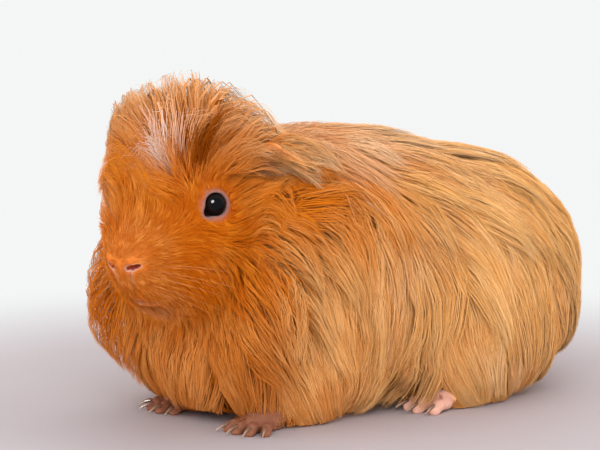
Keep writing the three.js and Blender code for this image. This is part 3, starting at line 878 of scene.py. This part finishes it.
def grow(roots, lengths, layers, turns, ends, bridges=0):
    """Paths of hairs from their roots, as an array of points (3, step, hair).

    A hair leaves the skin, comes up to its own layer below the outline, and follows the flow there. turns is
    how far it turns aside, ends how far its tip lifts off that layer, and bridges how far it passes over the
    hollow of an ear.
    """
    p = roots.copy()
    path = [p]
    long_hair = smoothstep(9, 22, lengths)
    tuft = crest_share(roots)
    droop = mix(3.4, 1.4, smoothstep(6, 28, to_head(roots)[0]))
    sunk = [smoothstep(-2, 2, gap) for gap in behind_partings(roots)]
    outline = functools.partial(coat_field, bridge=bridges, sunk=sunk)
    for k in range(STEPS):
        t = (k + 0.5) / STEPS
        # Deep in the crest the hair runs out from its spring. Near the outline it is laid along it.
        depth = outline(p)
        deep = tuft * smoothstep(-2, -10, depth)
        out = unit(mix(unit(gradient(outline, p, 0.6)), away_from(p, CREST_SPRING)[0], deep))
        way = flow(p)
        way[2] -= tuft * droop * t * t
        keep = 0.12 + 0.3 * tuft
        way = way - out * ((way * out).sum(0) * (1 - keep))
        way = turned(unit(way), out, turns * (0.6 + 0.9 * t))
        rise = mix(0.42, mix(0.75, 0.0, smoothstep(0, 0.5, t)), long_hair) * (1 - t) ** 0.5 + 1.6 * deep
        p = p + unit(way + rise * out) * (lengths / STEPS)
        # Long hair is drawn to its layer, and hair that stands out of it is drawn back.
        depth = outline(p)
        want = -layers + ends * smoothstep(0.55, 1, t)
        pull = long_hair * 0.55 * smoothstep(0, 0.3, t) * (1 - deep)
        pull = pull * (1 - 0.6 * tuft * smoothstep(0.3, 0.7, t))
        pull = np.where(depth > want, np.maximum(pull, 0.7 - 0.4 * tuft), pull)
        p = p + out * np.clip((want - depth) * pull, -4, 4)
        p[2] = np.maximum(p[2], HEM * 0.4)
        path.append(p)
    return np.stack(path, 1)


def grouped(roots, middles):
    """Which of the middles is nearest to each root."""
    tree = KDTree(middles.shape[1])
    for i, middle in enumerate(middles.T):
        tree.insert(middle, i)
    tree.balance()
    return np.array([tree.find(root)[1] for root in roots.T])


def gathered(path, lead, share, spread):
    """Draws paths towards the paths that lead them. spread is how far apart their tips stay, as a share."""
    t = np.linspace(0, 1, STEPS + 1)[None, :, None]
    shift = path[:, :1] - lead[:, :1]
    return mix(path, lead + shift * (1 - (1 - spread) * t), share * smoothstep(0.15, 1.0, t))


def build_paths(roots, rng):
    """Grows every hair. Hairs are drawn together in locks, and locks in swaths that overlap."""
    count = roots.shape[1]
    lengths = hair_length(roots) * rng.uniform(0.72, 1.15, count)
    guides = rng.permutation(count)[: max(1, count // LOCK_SIZE)]
    leaders = guides[: max(1, len(guides) // SWATH_SIZE)]
    lock = grouped(roots, roots[:, guides])
    swath = grouped(roots[:, guides], roots[:, leaders])[lock]
    lengths = lengths * rng.uniform(0.88, 1.1, len(guides))[lock]
    crest = crest_share(roots)
    long_hair = smoothstep(7, 24, lengths)
    ribbon = ribbons(roots)
    # Each lock, hair and swath has a turn, a layer and, further down, a tone of its own.
    turns = rng.normal(0, 0.05, len(guides))[lock] + rng.normal(0, 0.03, count) + wander(roots)
    turns = turns + rng.normal(0, 0.08, len(leaders))[swath] * long_hair
    turns = turns + crest * rng.normal(0, 0.2, len(guides))[lock]
    layers = rng.uniform(0.2, 2.2, len(guides))[lock] + rng.uniform(-0.3, 1.3, count) + 0.7 * ribbon
    layers = layers + rng.uniform(0, 1.7, len(leaders))[swath] * (1 - crest)
    layers = layers * mix(0.25, 1, long_hair) * mix(0.35, 1, smoothstep(8, 26, roots[2]))
    depths = (layers - 1.5) * long_hair
    s, w, z = to_head(roots)
    ruff = head_share(roots) * smoothstep(16, 28, np.abs(w)) * smoothstep(78, 66, z)
    # The hair of the crest, brow, ears and far ruff stands out of the outline.
    float_out = CREST_FLOAT * crest * mix(1, 0.5, smoothstep(48, 60, s)) * mix(0.4, 1, smoothstep(6, 26, s))
    layers = np.maximum(layers, 0.2) - float_out - BROW_FLOAT * brow_share(roots) * (1 - crest)
    layers = layers - 1.0 * ear_share(roots) - ruff * mix(0.0, 1.3, smoothstep(0, -20, w))
    # Some hairs stray from their lock, most of all along the top of the back.
    odds = 0.03 + 0.06 * np.maximum(crest, ruff) + 0.10 * smoothstep(85, 100, z) * (1 - crest)
    stray = rng.random(count) < odds
    high = smoothstep(88, 102, z) * (1 - crest)
    stray_ends, other_ends = rng.uniform(1.5, mix(5, 9, high), count), rng.uniform(-0.6, 0.8, count)
    ends = np.where(stray, stray_ends, other_ends) * mix(0.3, 1, long_hair)
    ends = ends + 4 * smoothstep(45, 12, z) * smoothstep(2, 6, z) * long_hair
    turns = turns + np.where(stray, rng.normal(0, 0.35, count), 0)
    # Nearly all locks bridge the hollow of an ear, but few of those that start above it.
    over_ear = mix(0.9, 0.06, (smoothstep(88, 94, z) * smoothstep(0, 12, s))[guides])
    bridges = np.where(rng.random(len(guides)) < over_ear, *EAR_BRIDGES)[lock]
    path = grow(roots, lengths, layers, turns, ends, bridges)
    loose = np.where(stray, 0.2, 1) * mix(0.6, 1, long_hair)
    led = gathered(path, path[:, :, leaders][:, :, swath], SWATHING * long_hair * (1 - 0.6 * crest), 0.4)
    clumping = mix(*CLUMPING, smoothstep(45, 15, roots[2])) * loose
    reach = np.minimum(1, lengths / np.maximum(lengths[guides][lock], 1))
    path = gathered(led, led[:, :, guides][:, :, lock], clumping * reach, 0.25)
    path[2] = np.maximum(path[2], HEM * 0.3)
    tones = mix(0.22, 0.5, smoothstep(5, 20, lengths)) + 0.12 * crest + 0.09 * ribbon
    tones = tones + mix(0.40, 0.10, long_hair) * rng.normal(size=len(guides))[lock]
    tones = tones + mix(0.32, 0.20, long_hair) * rng.normal(size=count)
    tones = tones + 0.06 * rng.normal(size=len(leaders))[swath]
    # Painted light: the hair of the nape behind the crest is made lighter, to lift the shade that falls there.
    tones = tones + 0.3 * smoothstep(80, 96, z) * smoothstep(28, 14, s) * smoothstep(-30, -14, s)
    return path, lengths, stray, np.clip(tones, 0, 1), depths


def blade_faces(points):
    """The triangles of one blade: a root, a ring of three points at each point between, and a tip."""
    last, tip = 1 + (points - 3) * 3, 1 + (points - 2) * 3
    faces = []
    for i in range(3):
        j = (i + 1) % 3
        faces.append((0, 1 + i, 1 + j))
        for a in range(1, last, 3):
            faces += [(a + i, a + 3 + i, a + 3 + j), (a + i, a + 3 + j, a + j)]
        faces.append((last + j, last + i, tip))
    return np.array(faces)


def hair_mesh(name, path, widths, points, places, marks, tones):
    """One mesh of closed, tapered blades. points is how many points each keeps of its path."""
    count = path.shape[2]
    at = np.linspace(0, 1, points) ** 0.9
    exact = at * STEPS
    low = np.minimum(exact.astype(int), STEPS - 1)
    share = (exact - low)[None, :, None]
    kept = path[:, low] * (1 - share) + path[:, low + 1] * share
    tangent = unit(kept[:, 2:] - kept[:, :-2])
    middle = kept[:, 1:-1]
    flat = middle.reshape(3, -1)
    out = unit(gradient(plain_field, flat, 0.8)).reshape(middle.shape)
    upward = unit(middle - from_head(*CREST_MIDDLE)[:, None, None])
    crest, forward = crest_share(path[:, 0]), to_head(path[:, 0])[0]
    out = unit(mix(out, upward, 0.75 * crest * smoothstep(8, 28, forward)))
    across = unit(np.cross(tangent, out, axis=0))
    up = np.cross(across, tangent, axis=0)
    taper = np.interp(at[1:-1], *WIDTH_ALONG_HAIR)[None, :, None]
    half = taper * widths[None, None, :] / 2
    sag, crown = up * half * 0.2, up * half * 0.4
    rings = np.stack([middle - across * half - sag, middle + across * half - sag, middle + crown], 2)
    rings = rings.reshape(3, -1, count)
    vertices = np.concatenate([kept[:, :1], rings, kept[:, -1:]], 1)
    facing = np.stack([out - across * ROUNDNESS, out + across * ROUNDNESS, out], 2).reshape(3, -1, count)
    facing = unit(np.concatenate([out[:, :1], facing, out[:, -1:]], 1))
    per_hair = vertices.shape[1]
    all_faces = (blade_faces(points)[None] + (np.arange(count) * per_hair)[:, None, None]).reshape(-1, 3)
    obj = build_mesh(name, vertices.transpose(2, 1, 0).reshape(-1, 3), all_faces)
    obj.data.normals_split_custom_set_from_vertices(facing.transpose(2, 1, 0).reshape(-1, 3).tolist())
    along = np.concatenate([[0], np.repeat(at[1:-1], 3), [1]])
    aside = np.concatenate([[0], np.tile((-0.5, 0.5, 0), points - 2), [0]])
    patch = np.stack([aside, along - 0.5], 1) * UV_PATCH
    uv = (places[:, None, :] + patch[None]).reshape(-1, 2)
    mesh = obj.data
    layer = mesh.uv_layers.new(name="OFBake")
    layer.data.foreach_set("uv", uv[all_faces.ravel()].astype(np.float32).ravel())
    put_attribute(mesh, "along", "FLOAT", np.tile(along, count))
    put_attribute(mesh, "tone", "FLOAT", np.repeat(tones, per_hair))
    mark_light_and_shade = np.repeat(marks.T, per_hair, axis=0)
    # Painted light, partly the hair's own colour: the crest's hair turns less orange and paler towards its
    # tips.
    fade = np.outer(crest * smoothstep(62, 50, forward), along**2).ravel()
    mark_light_and_shade[:, 0] *= 1 - 0.9 * fade
    mark_light_and_shade[:, 1] = np.clip(mark_light_and_shade[:, 1] + PALE_AND_LIT_TIPS * fade, 0, 1)
    put_attribute(mesh, "mark_light_and_shade", "FLOAT_VECTOR", mark_light_and_shade)
    return obj


def put_attribute(mesh, name, kind, values):
    layer = mesh.attributes.new(name, kind, "POINT")
    field = "vector" if kind == "FLOAT_VECTOR" else "value"
    layer.data.foreach_set(field, np.asarray(values, np.float32).ravel())


def unwrap(skin):
    """Unwraps the skin by its own shape, as the map OFBake, and returns each quad's corners on it."""
    bpy.context.view_layer.objects.active = skin
    skin.data.uv_layers.new(name="OFBake")
    for obj in bpy.context.view_layer.objects:
        obj.select_set(obj is skin)
    bpy.ops.object.mode_set(mode="EDIT")
    bpy.ops.mesh.select_all(action="SELECT")
    bpy.ops.uv.smart_project(angle_limit=math.radians(80), island_margin=0.004)
    bpy.ops.object.mode_set(mode="OBJECT")
    uv = np.empty(len(skin.data.loops) * 2, np.float32)
    skin.data.uv_layers["OFBake"].data.foreach_get("uv", uv)
    return uv.reshape(-1, 4, 2)


def zone_names(roots):
    """Which piece of the coat each hair belongs to."""
    s, w, z = to_head(roots)
    hand = np.where(roots[0] > 0, "left", "right")
    names = np.where(roots[1] < CREASE_Y, "shoulder_", "rump_").astype("<U20")
    names = np.char.add(names, hand)
    head = head_share(roots) > 0.5
    names = np.where(head, np.char.add("mane_", np.where(w > 0, "left", "right")), names)
    names = np.where(head & (away_from(roots, NOSE)[1] < FACE_REACH), "face", names)
    names = np.where(crest_share(roots) > 0.5, "crest", names)
    names = np.where(z < 12, "feet", names)
    return names


def add_hair(name, path, widths, points, places, marks, tones, material):
    piece = hair_mesh(name, path, widths, points, places, marks, tones)
    piece.data.materials.append(material)
    return piece


def build_undercoat(p, quads, uv, material):
    """Broad, flat locks that close the coat under its fine hair."""
    rng = np.random.default_rng(UNDERCOAT_SEED)
    roots, places = sample_roots(p, quads, uv, undercoat_density, rng)
    count = roots.shape[1]
    lengths = hair_length(roots) * rng.uniform(0.9, 1.15, count)
    layers = UNDERCOAT_DEPTH + rng.uniform(0, 1.4, count)
    path = grow(roots, lengths, layers, wander(roots), np.zeros(count))
    widths = UNDERCOAT_WIDTH * rng.uniform(0.75, 1.3, count)
    tones = np.clip(0.45 + 0.14 * ribbons(roots) + 0.08 * rng.normal(size=count), 0, 1)
    # Painted shade: the undercoat lies in the coat's shade, so its colours are made more deeply orange.
    marks = deeper(markings_light_and_shade(roots), 0.45)
    add_hair("coat_under", path, widths, 5, places, marks, tones, material)


def build_coat(p, quads, uv, material):
    """The fine hair, in pieces by zone and by how many points each hair keeps."""
    rng = np.random.default_rng(COAT_SEED)
    roots, places = sample_roots(p, quads, uv, hair_density, rng)
    path, lengths, stray, tones, depths = build_paths(roots, rng)
    # Painted shade: hair that lies lower in the coat is made more deeply orange.
    marks = deeper(markings_light_and_shade(roots), 0.1 * depths)
    widths = np.interp(lengths, *WIDTH_BY_LENGTH) * (1 - 0.3 * crest_share(roots))
    widths = widths * rng.uniform(0.65, 1.25, len(lengths)) * np.where(stray, 0.7, 1)
    points = np.select([lengths < 4.5, lengths < 11], [3, 4], 5)
    zones = zone_names(roots)
    for zone in sorted(set(zones)):
        for kept_points in (3, 4, 5):
            chosen = np.flatnonzero((zones == zone) & (points == kept_points))
            parts = math.ceil(len(chosen) * len(blade_faces(kept_points)) / PIECE_LIMIT)
            chosen = chosen[np.argsort(roots[1, chosen])]
            for number, part in enumerate(np.array_split(chosen, parts) if parts else []):
                name = f"coat_{zone}_{kept_points - 2}_{number + 1}"
                piece = add_hair(name, path[:, :, part], widths[part], kept_points, places[part],
                                 marks[:, part], tones[part], material)
                if zone == "crest":
                    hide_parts("crest")


# ---------------------------------------------------------------- eyes, claws and whiskers
def closed_rings(points, rings, around):
    """Triangles between rings of points, closed on two more points that come last, one at either end."""
    faces = []
    first, last = rings * around, rings * around + 1
    for j in range(around):
        k = (j + 1) % around
        faces += [(first, j, k), (last, (rings - 1) * around + k, (rings - 1) * around + j)]
        for i in range(rings - 1):
            a, b = i * around + j, i * around + k
            faces += [(a, a + around, b + around), (a, b + around, b)]
    faces = np.array(faces)
    a, b, c = (points[faces[:, i]] - points.mean(0) for i in range(3))
    inside_out = (np.cross(a, b) * c).sum() < 0
    return faces[:, ::-1] if inside_out else faces


def build_eye(hand, material):
    """An eyeball whose clear front stands out a little."""
    rings, around = 40, 48
    side = SIDES[hand]
    angles = np.linspace(0, math.pi, rings + 2)[1:-1]
    turns = np.arange(around) / around * 2 * math.pi
    angle = np.concatenate([np.repeat(angles, around), [0, math.pi]])
    turn = np.concatenate([np.tile(turns, rings), [0, 0]])
    radius = EYE_RADIUS + CORNEA * np.exp(-((angle / 0.75) ** 4))
    look, ahead, up = eye_axes()
    aside = np.outer(np.cos(turn), ahead) + np.outer(np.sin(turn), up)
    local = (radius * np.cos(angle))[:, None] * look + (radius * np.sin(angle))[:, None] * aside
    s, w, z = (local + EYE).T
    points = from_head(s, side * w, z).T
    eye = build_mesh(f"eyeball_{hand}", points, closed_rings(points, rings, around))
    put_attribute(eye.data, "angle", "FLOAT", angle)
    eye.data.materials.append(material)
    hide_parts(f"eye_{hand}")


def build_claw(kind, hand, index, material):
    """A curved, tapered claw, flatter underneath, at the end of its toe."""
    rings, around = 14, 12
    foot = FEET[kind]
    along = np.concatenate([np.repeat(np.linspace(0, 1, rings), around), [0, 1]])
    angle = np.concatenate([np.tile(np.arange(around) / around * 2 * math.pi, rings), [0, 0]])
    radius = CLAW_RADIUS * (1 - 0.86 * along**1.5)
    radius[-2:] = 0
    height = np.where(np.sin(angle) > 0, 1.2, 0.75)
    turn, (across, ahead, up) = toe_place(foot, index)
    root = -foot["length"] * 0.62 + CLAW_LENGTH * 0.3
    a = across + radius * 0.85 * np.cos(angle)
    b = ahead + root - along * CLAW_LENGTH
    curl = math.tan(math.radians(CLAW_CURL)) * CLAW_LENGTH * 0.42
    c = up + 1 + radius * height * np.sin(angle) - curl * along**2
    local = np.stack([math.cos(turn) * a - math.sin(turn) * b, math.sin(turn) * a + math.cos(turn) * b, c], 1)
    points = from_foot(local, foot, hand)
    claw = build_mesh(f"claw_{kind}_{hand}_{index + 1}", points, closed_rings(points, rings, around))
    put_attribute(claw.data, "along", "FLOAT", along)
    claw.data.materials.append(material)
    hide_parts(f"{kind}claw_{hand}_{index + 1}")


def build_whiskers(skin_points, quads, uv, material):
    """Rows of long, thin whiskers on both sides of the muzzle."""
    rng = np.random.default_rng(WHISKER_SEED)
    s, w, z = WHISKER_PAD
    roots, ways, lengths = [], [], []
    for side in SIDES.values():
        for row in range(WHISKER_ROWS):
            for column in range(WHISKER_COLUMNS):
                back = (column - 1.5) * WHISKER_GAP + rng.normal(0, 0.3)
                rise = (1.5 - row) * WHISKER_GAP + 0.3 * back + rng.normal(0, 0.3)
                roots.append(from_head(s - back, side * (w + 0.5 * back), z + rise))
                ways.append(turn_from_head(-0.15 - 0.12 * column, side, 0.14 * (1.5 - row) - 0.05))
                lengths.append(rng.uniform(*WHISKER_LENGTH) + 3.5 * column)
    roots, ways = settle(skin_field, np.array(roots).T, 6), unit(np.array(ways).T)
    lengths = np.array(lengths)
    t = np.linspace(0, 1, STEPS + 1)[None, :, None]
    bend = turn_from_head(*WHISKER_SWEEP)[:, None, None]
    path = roots[:, None] + lengths * (t * ways[:, None] + t * t * bend)
    middles = skin_points[:, quads].mean(2)
    nearest = [np.argmin(((middles - root[:, None]) ** 2).sum(0)) for root in roots.T]
    count = len(lengths)
    marks = np.repeat([[0.8], [0.25], [0.0]], count, 1)
    add_hair("whiskers", path, np.full(count, WHISKER_WIDTH), 6, uv[nearest].mean(1), marks,
             np.full(count, 0.6), material)


# ---------------------------------------------------------------- camera, light and floor
def set_camera():
    back = Vector((
        math.sin(AZIMUTH) * math.cos(ELEVATION),
        -math.cos(AZIMUTH) * math.cos(ELEVATION),
        math.sin(ELEVATION),
    ))
    right = Vector((math.cos(AZIMUTH), math.sin(AZIMUTH), 0))
    up = back.cross(right)
    target = Vector(to_world([TARGET])[0])
    place = target + back * DISTANCE * MM
    off_right = (TARGET_PIXEL[0] - PICTURE_WIDTH / 2) / FOCAL_PIXELS
    off_down = (TARGET_PIXEL[1] - PICTURE_HEIGHT / 2) / FOCAL_PIXELS
    looks = -back - right * off_right + up * off_down
    data = bpy.data.cameras.new("camera")
    data.sensor_width = SENSOR
    data.lens = FOCAL_PIXELS * SENSOR / PICTURE_WIDTH
    data.clip_start, data.clip_end = 0.05, 20
    camera = bpy.data.objects.new("camera", data)
    camera.location = place
    camera.rotation_mode = "QUATERNION"
    camera.rotation_quaternion = looks.to_track_quat("-Z", "Y")
    bpy.context.scene.collection.objects.link(camera)
    bpy.context.scene.camera = camera


def area_light(name, place, size, power, lights):
    """A soft panel that faces the middle of the animal. It lights all, only the gloss, or only the matt."""
    data = bpy.data.lights.new(name, "AREA")
    data.shape = "DISK"
    data.size = size * MM
    data.energy = power
    light = bpy.data.objects.new(name, data)
    light.visible_glossy = lights != "matt"
    light.visible_diffuse = lights != "gloss"
    light.location = Vector(place) * MM
    light.rotation_euler = (Vector((0, 0, 0.06)) - light.location).to_track_quat("-Z", "Y").to_euler()
    bpy.context.scene.collection.objects.link(light)


def set_stage():
    scene = bpy.context.scene
    scene.view_settings.view_transform = "Standard"
    world = bpy.data.worlds.new("studio")
    world.use_nodes = True
    backdrop = world.node_tree.nodes["Background"]
    backdrop.inputs["Color"].default_value = BACKDROP
    backdrop.inputs["Strength"].default_value = 1.0
    scene.world = world
    for light in LIGHTS:
        area_light(*light)
    bpy.ops.mesh.primitive_circle_add(vertices=96, radius=6, fill_type="NGON")
    floor = bpy.context.object
    floor.name = "floor"
    floor.data.materials.append(floor_material())


# ---------------------------------------------------------------- materials
class Nodes:
    """A material's node tree, with a short way to add and link nodes."""

    def __init__(self, name):
        self.material = bpy.data.materials.new(name)
        self.material.use_nodes = True
        self.tree = self.material.node_tree
        self.shader = self.tree.nodes["Principled BSDF"]

    def add(self, kind, inputs=None, **settings):
        node = self.tree.nodes.new(kind)
        for key, value in settings.items():
            setattr(node, key, value)
        for key, value in (inputs or {}).items():
            self.put(node.inputs[key], value)
        return node

    def put(self, socket, value):
        if isinstance(value, bpy.types.NodeSocket):
            self.tree.links.new(value, socket)
        else:
            socket.default_value = value

    def set(self, **values):
        """Sets sockets of the Principled shader, an underscore for each space of their names."""
        for key, value in values.items():
            self.put(self.shader.inputs[key.replace("_", " ")], value)

    def mix(self, factor, a, b, kind="MIX"):
        node = self.add("ShaderNodeMix", data_type="RGBA", blend_type=kind)
        for socket, value in ((node.inputs[0], factor), (node.inputs[6], a), (node.inputs[7], b)):
            self.put(socket, value)
        return node.outputs[2]

    def ramp(self, value, low, high, to_low=0.0, to_high=1.0):
        node = self.add("ShaderNodeMapRange", interpolation_type="SMOOTHSTEP")
        for socket, item in zip(node.inputs, (value, low, high, to_low, to_high)):
            self.put(socket, item)
        return node.outputs[0]

    def noise(self, vector, scale, detail=2.0):
        node = self.add("ShaderNodeTexNoise", {"Vector": vector, "Scale": scale, "Detail": detail})
        return node.outputs["Fac"]

    def attribute(self, name, output="Fac"):
        return self.add("ShaderNodeAttribute", attribute_name=name).outputs[output]


def floor_material():
    """A pale floor that runs into the bright backdrop away from the animal."""
    m = Nodes("floor_paint")
    place = m.add("ShaderNodeNewGeometry").outputs["Position"]
    length = m.add("ShaderNodeVectorMath", {0: place}, operation="LENGTH").outputs["Value"]
    grain = m.noise(place, 30, 4)
    m.set(Base_Color=m.mix(grain, *FLOOR_GRAIN), Roughness=0.7)
    glow = m.add("ShaderNodeEmission", {"Color": BACKDROP})
    fade = m.ramp(length, *FLOOR_FADE)
    both = m.add("ShaderNodeMixShader", {0: fade, 1: m.shader.outputs[0], 2: glow.outputs[0]})
    m.put(m.tree.nodes["Material Output"].inputs["Surface"], both.outputs[0])
    return m.material


def coat_colour(m):
    """The coat's colours, for skin and hair alike: golden to deep orange, then pale, then white, or dark with
    painted shade.
    """
    marks = m.add("ShaderNodeSeparateXYZ", {0: m.attribute("mark_light_and_shade", "Vector")}).outputs
    colour = m.mix(marks[0], GOLDEN, DEEP)
    colour = m.mix(marks[1], colour, PALE)
    colour = m.mix(m.ramp(marks[2], 0.0, -1.0), colour, SHADE)
    return m.mix(m.ramp(marks[2], 0.0, 1.0), colour, WHITE)


def coat_material():
    """Ginger hair, each lock of its own tone: dark at the root with painted shade and paler at the tip with
    painted light, both partly the hair's own colour.
    """
    m = Nodes("ginger_hair")
    along, tone = m.attribute("along"), m.attribute("tone")
    deep = m.add("ShaderNodeSeparateXYZ", {0: m.attribute("mark_light_and_shade", "Vector")}).outputs[0]
    colour = coat_colour(m)
    # Painted shade, partly the hair's own colour: each hair is darkened towards its root.
    root = m.ramp(along, 0.0, 0.45, 0.8, 0.0)
    colour = m.mix(root, colour, ROOT_TINT_AND_SHADE, "MULTIPLY")
    # Painted light, partly the hair's own colour: each hair is paler towards its tip.
    tip = m.ramp(along, 0.5, 1.0, 0.0, m.ramp(deep, 0.3, 1.0, 0.6, 0.12))
    colour = m.mix(tip, colour, TIP_TINT_AND_LIGHT, "MULTIPLY")
    colour = m.mix(1.0, colour, m.mix(tone, DARK_TONE, LIGHT_TONE), "MULTIPLY")
    m.set(Base_Color=colour, Roughness=0.5, Specular_IOR_Level=0.0)
    return m.material


def skin_material():
    """Bare skin, pink, lilac or brown, and dark red in the nostrils and ears, partly as painted shade, where
    no hair grows; under the hair, the coat's colours, a little darkened with the painted shade of the roots.
    """
    m = Nodes("skin")
    tints = m.add("ShaderNodeSeparateXYZ", {0: m.attribute("tint", "Vector")}).outputs
    place = m.add("ShaderNodeTexCoord").outputs["Object"]
    grain, patches = m.noise(place, 1400, 3), m.noise(place, 260, 2)
    bare = m.mix(tints[0], BROWN_SKIN, PINK_SKIN)
    bare = m.mix(tints[1], bare, LILAC_SKIN)
    bare = m.mix(1.0, bare, m.mix(patches, *BLOTCHES), "MULTIPLY")
    bare = m.mix(tints[2], bare, NOSTRIL_RED_AND_SHADE)
    # Under the hair the skin is a little darkened with the painted shade of the roots.
    under = m.mix(0.3, coat_colour(m), ROOT_TINT_AND_SHADE, "MULTIPLY")
    colour = m.mix(m.attribute("bare"), under, bare)
    bump = m.add("ShaderNodeBump", {"Height": grain, "Strength": 0.5, "Distance": 0.0005})
    m.set(Base_Color=colour, Roughness=0.5, Specular_IOR_Level=0.02, Normal=bump.outputs[0])
    return m.material


def eye_material():
    """A near-black eye: the pupil, a dark brown iris, and a reddish white under the lids."""
    m = Nodes("eye")
    angle = m.attribute("angle")
    rays = m.noise(m.add("ShaderNodeTexCoord").outputs["Object"], 2500)
    colour = m.mix(m.ramp(angle, *PUPIL_EDGE), PUPIL, m.mix(rays, DARK_IRIS, LIGHT_IRIS))
    colour = m.mix(m.ramp(angle, *IRIS_EDGE), colour, EYE_WHITE)
    m.set(Base_Color=colour, Roughness=0.03, Specular_IOR_Level=0.1)
    return m.material


def claw_material():
    """Brownish horn that pales towards the tip, with fine lengthwise grain."""
    m = Nodes("claw")
    place = m.add("ShaderNodeTexCoord").outputs["Object"]
    grain = m.noise(m.add("ShaderNodeMapping", {"Vector": place, "Scale": (1, 0.2, 1)}).outputs[0], 3000)
    colour = m.mix(m.ramp(m.attribute("along"), 0.25, 1.0), m.mix(grain, DARK_HORN, LIGHT_HORN), HORN_TIP)
    bump = m.add("ShaderNodeBump", {"Height": grain, "Strength": 0.2, "Distance": 0.0001})
    m.set(Base_Color=colour, Roughness=0.3, Specular_IOR_Level=0.5, Normal=bump.outputs[0])
    return m.material


set_camera()
set_stage()
skin, skin_points, skin_quads = build_skin()
skin_uv = unwrap(skin)
put_attribute(skin.data, "mark_light_and_shade", "FLOAT_VECTOR", markings_light_and_shade(skin_points).T)
put_attribute(skin.data, "tint", "FLOAT_VECTOR", skin_tints(skin_points).T)
put_attribute(skin.data, "bare", "FLOAT", smoothstep(0.1, 0.55, bareness(skin_points)))
skin.data.materials.append(skin_material())
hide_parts("trunk", "neck", "head", "ear_left", "ear_right")
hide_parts("foreleg_left", "foreleg_right", "hindleg_left", "hindleg_right")

coat = coat_material()
build_undercoat(skin_points, skin_quads, skin_uv, coat)
build_coat(skin_points, skin_quads, skin_uv, coat)
build_whiskers(skin_points, skin_quads, skin_uv, coat)
eye, claw = eye_material(), claw_material()
for hand in SIDES:
    build_eye(hand, eye)
    for kind, foot in FEET.items():
        for index in range(foot["toes"]):
            build_claw(kind, hand, index, claw)
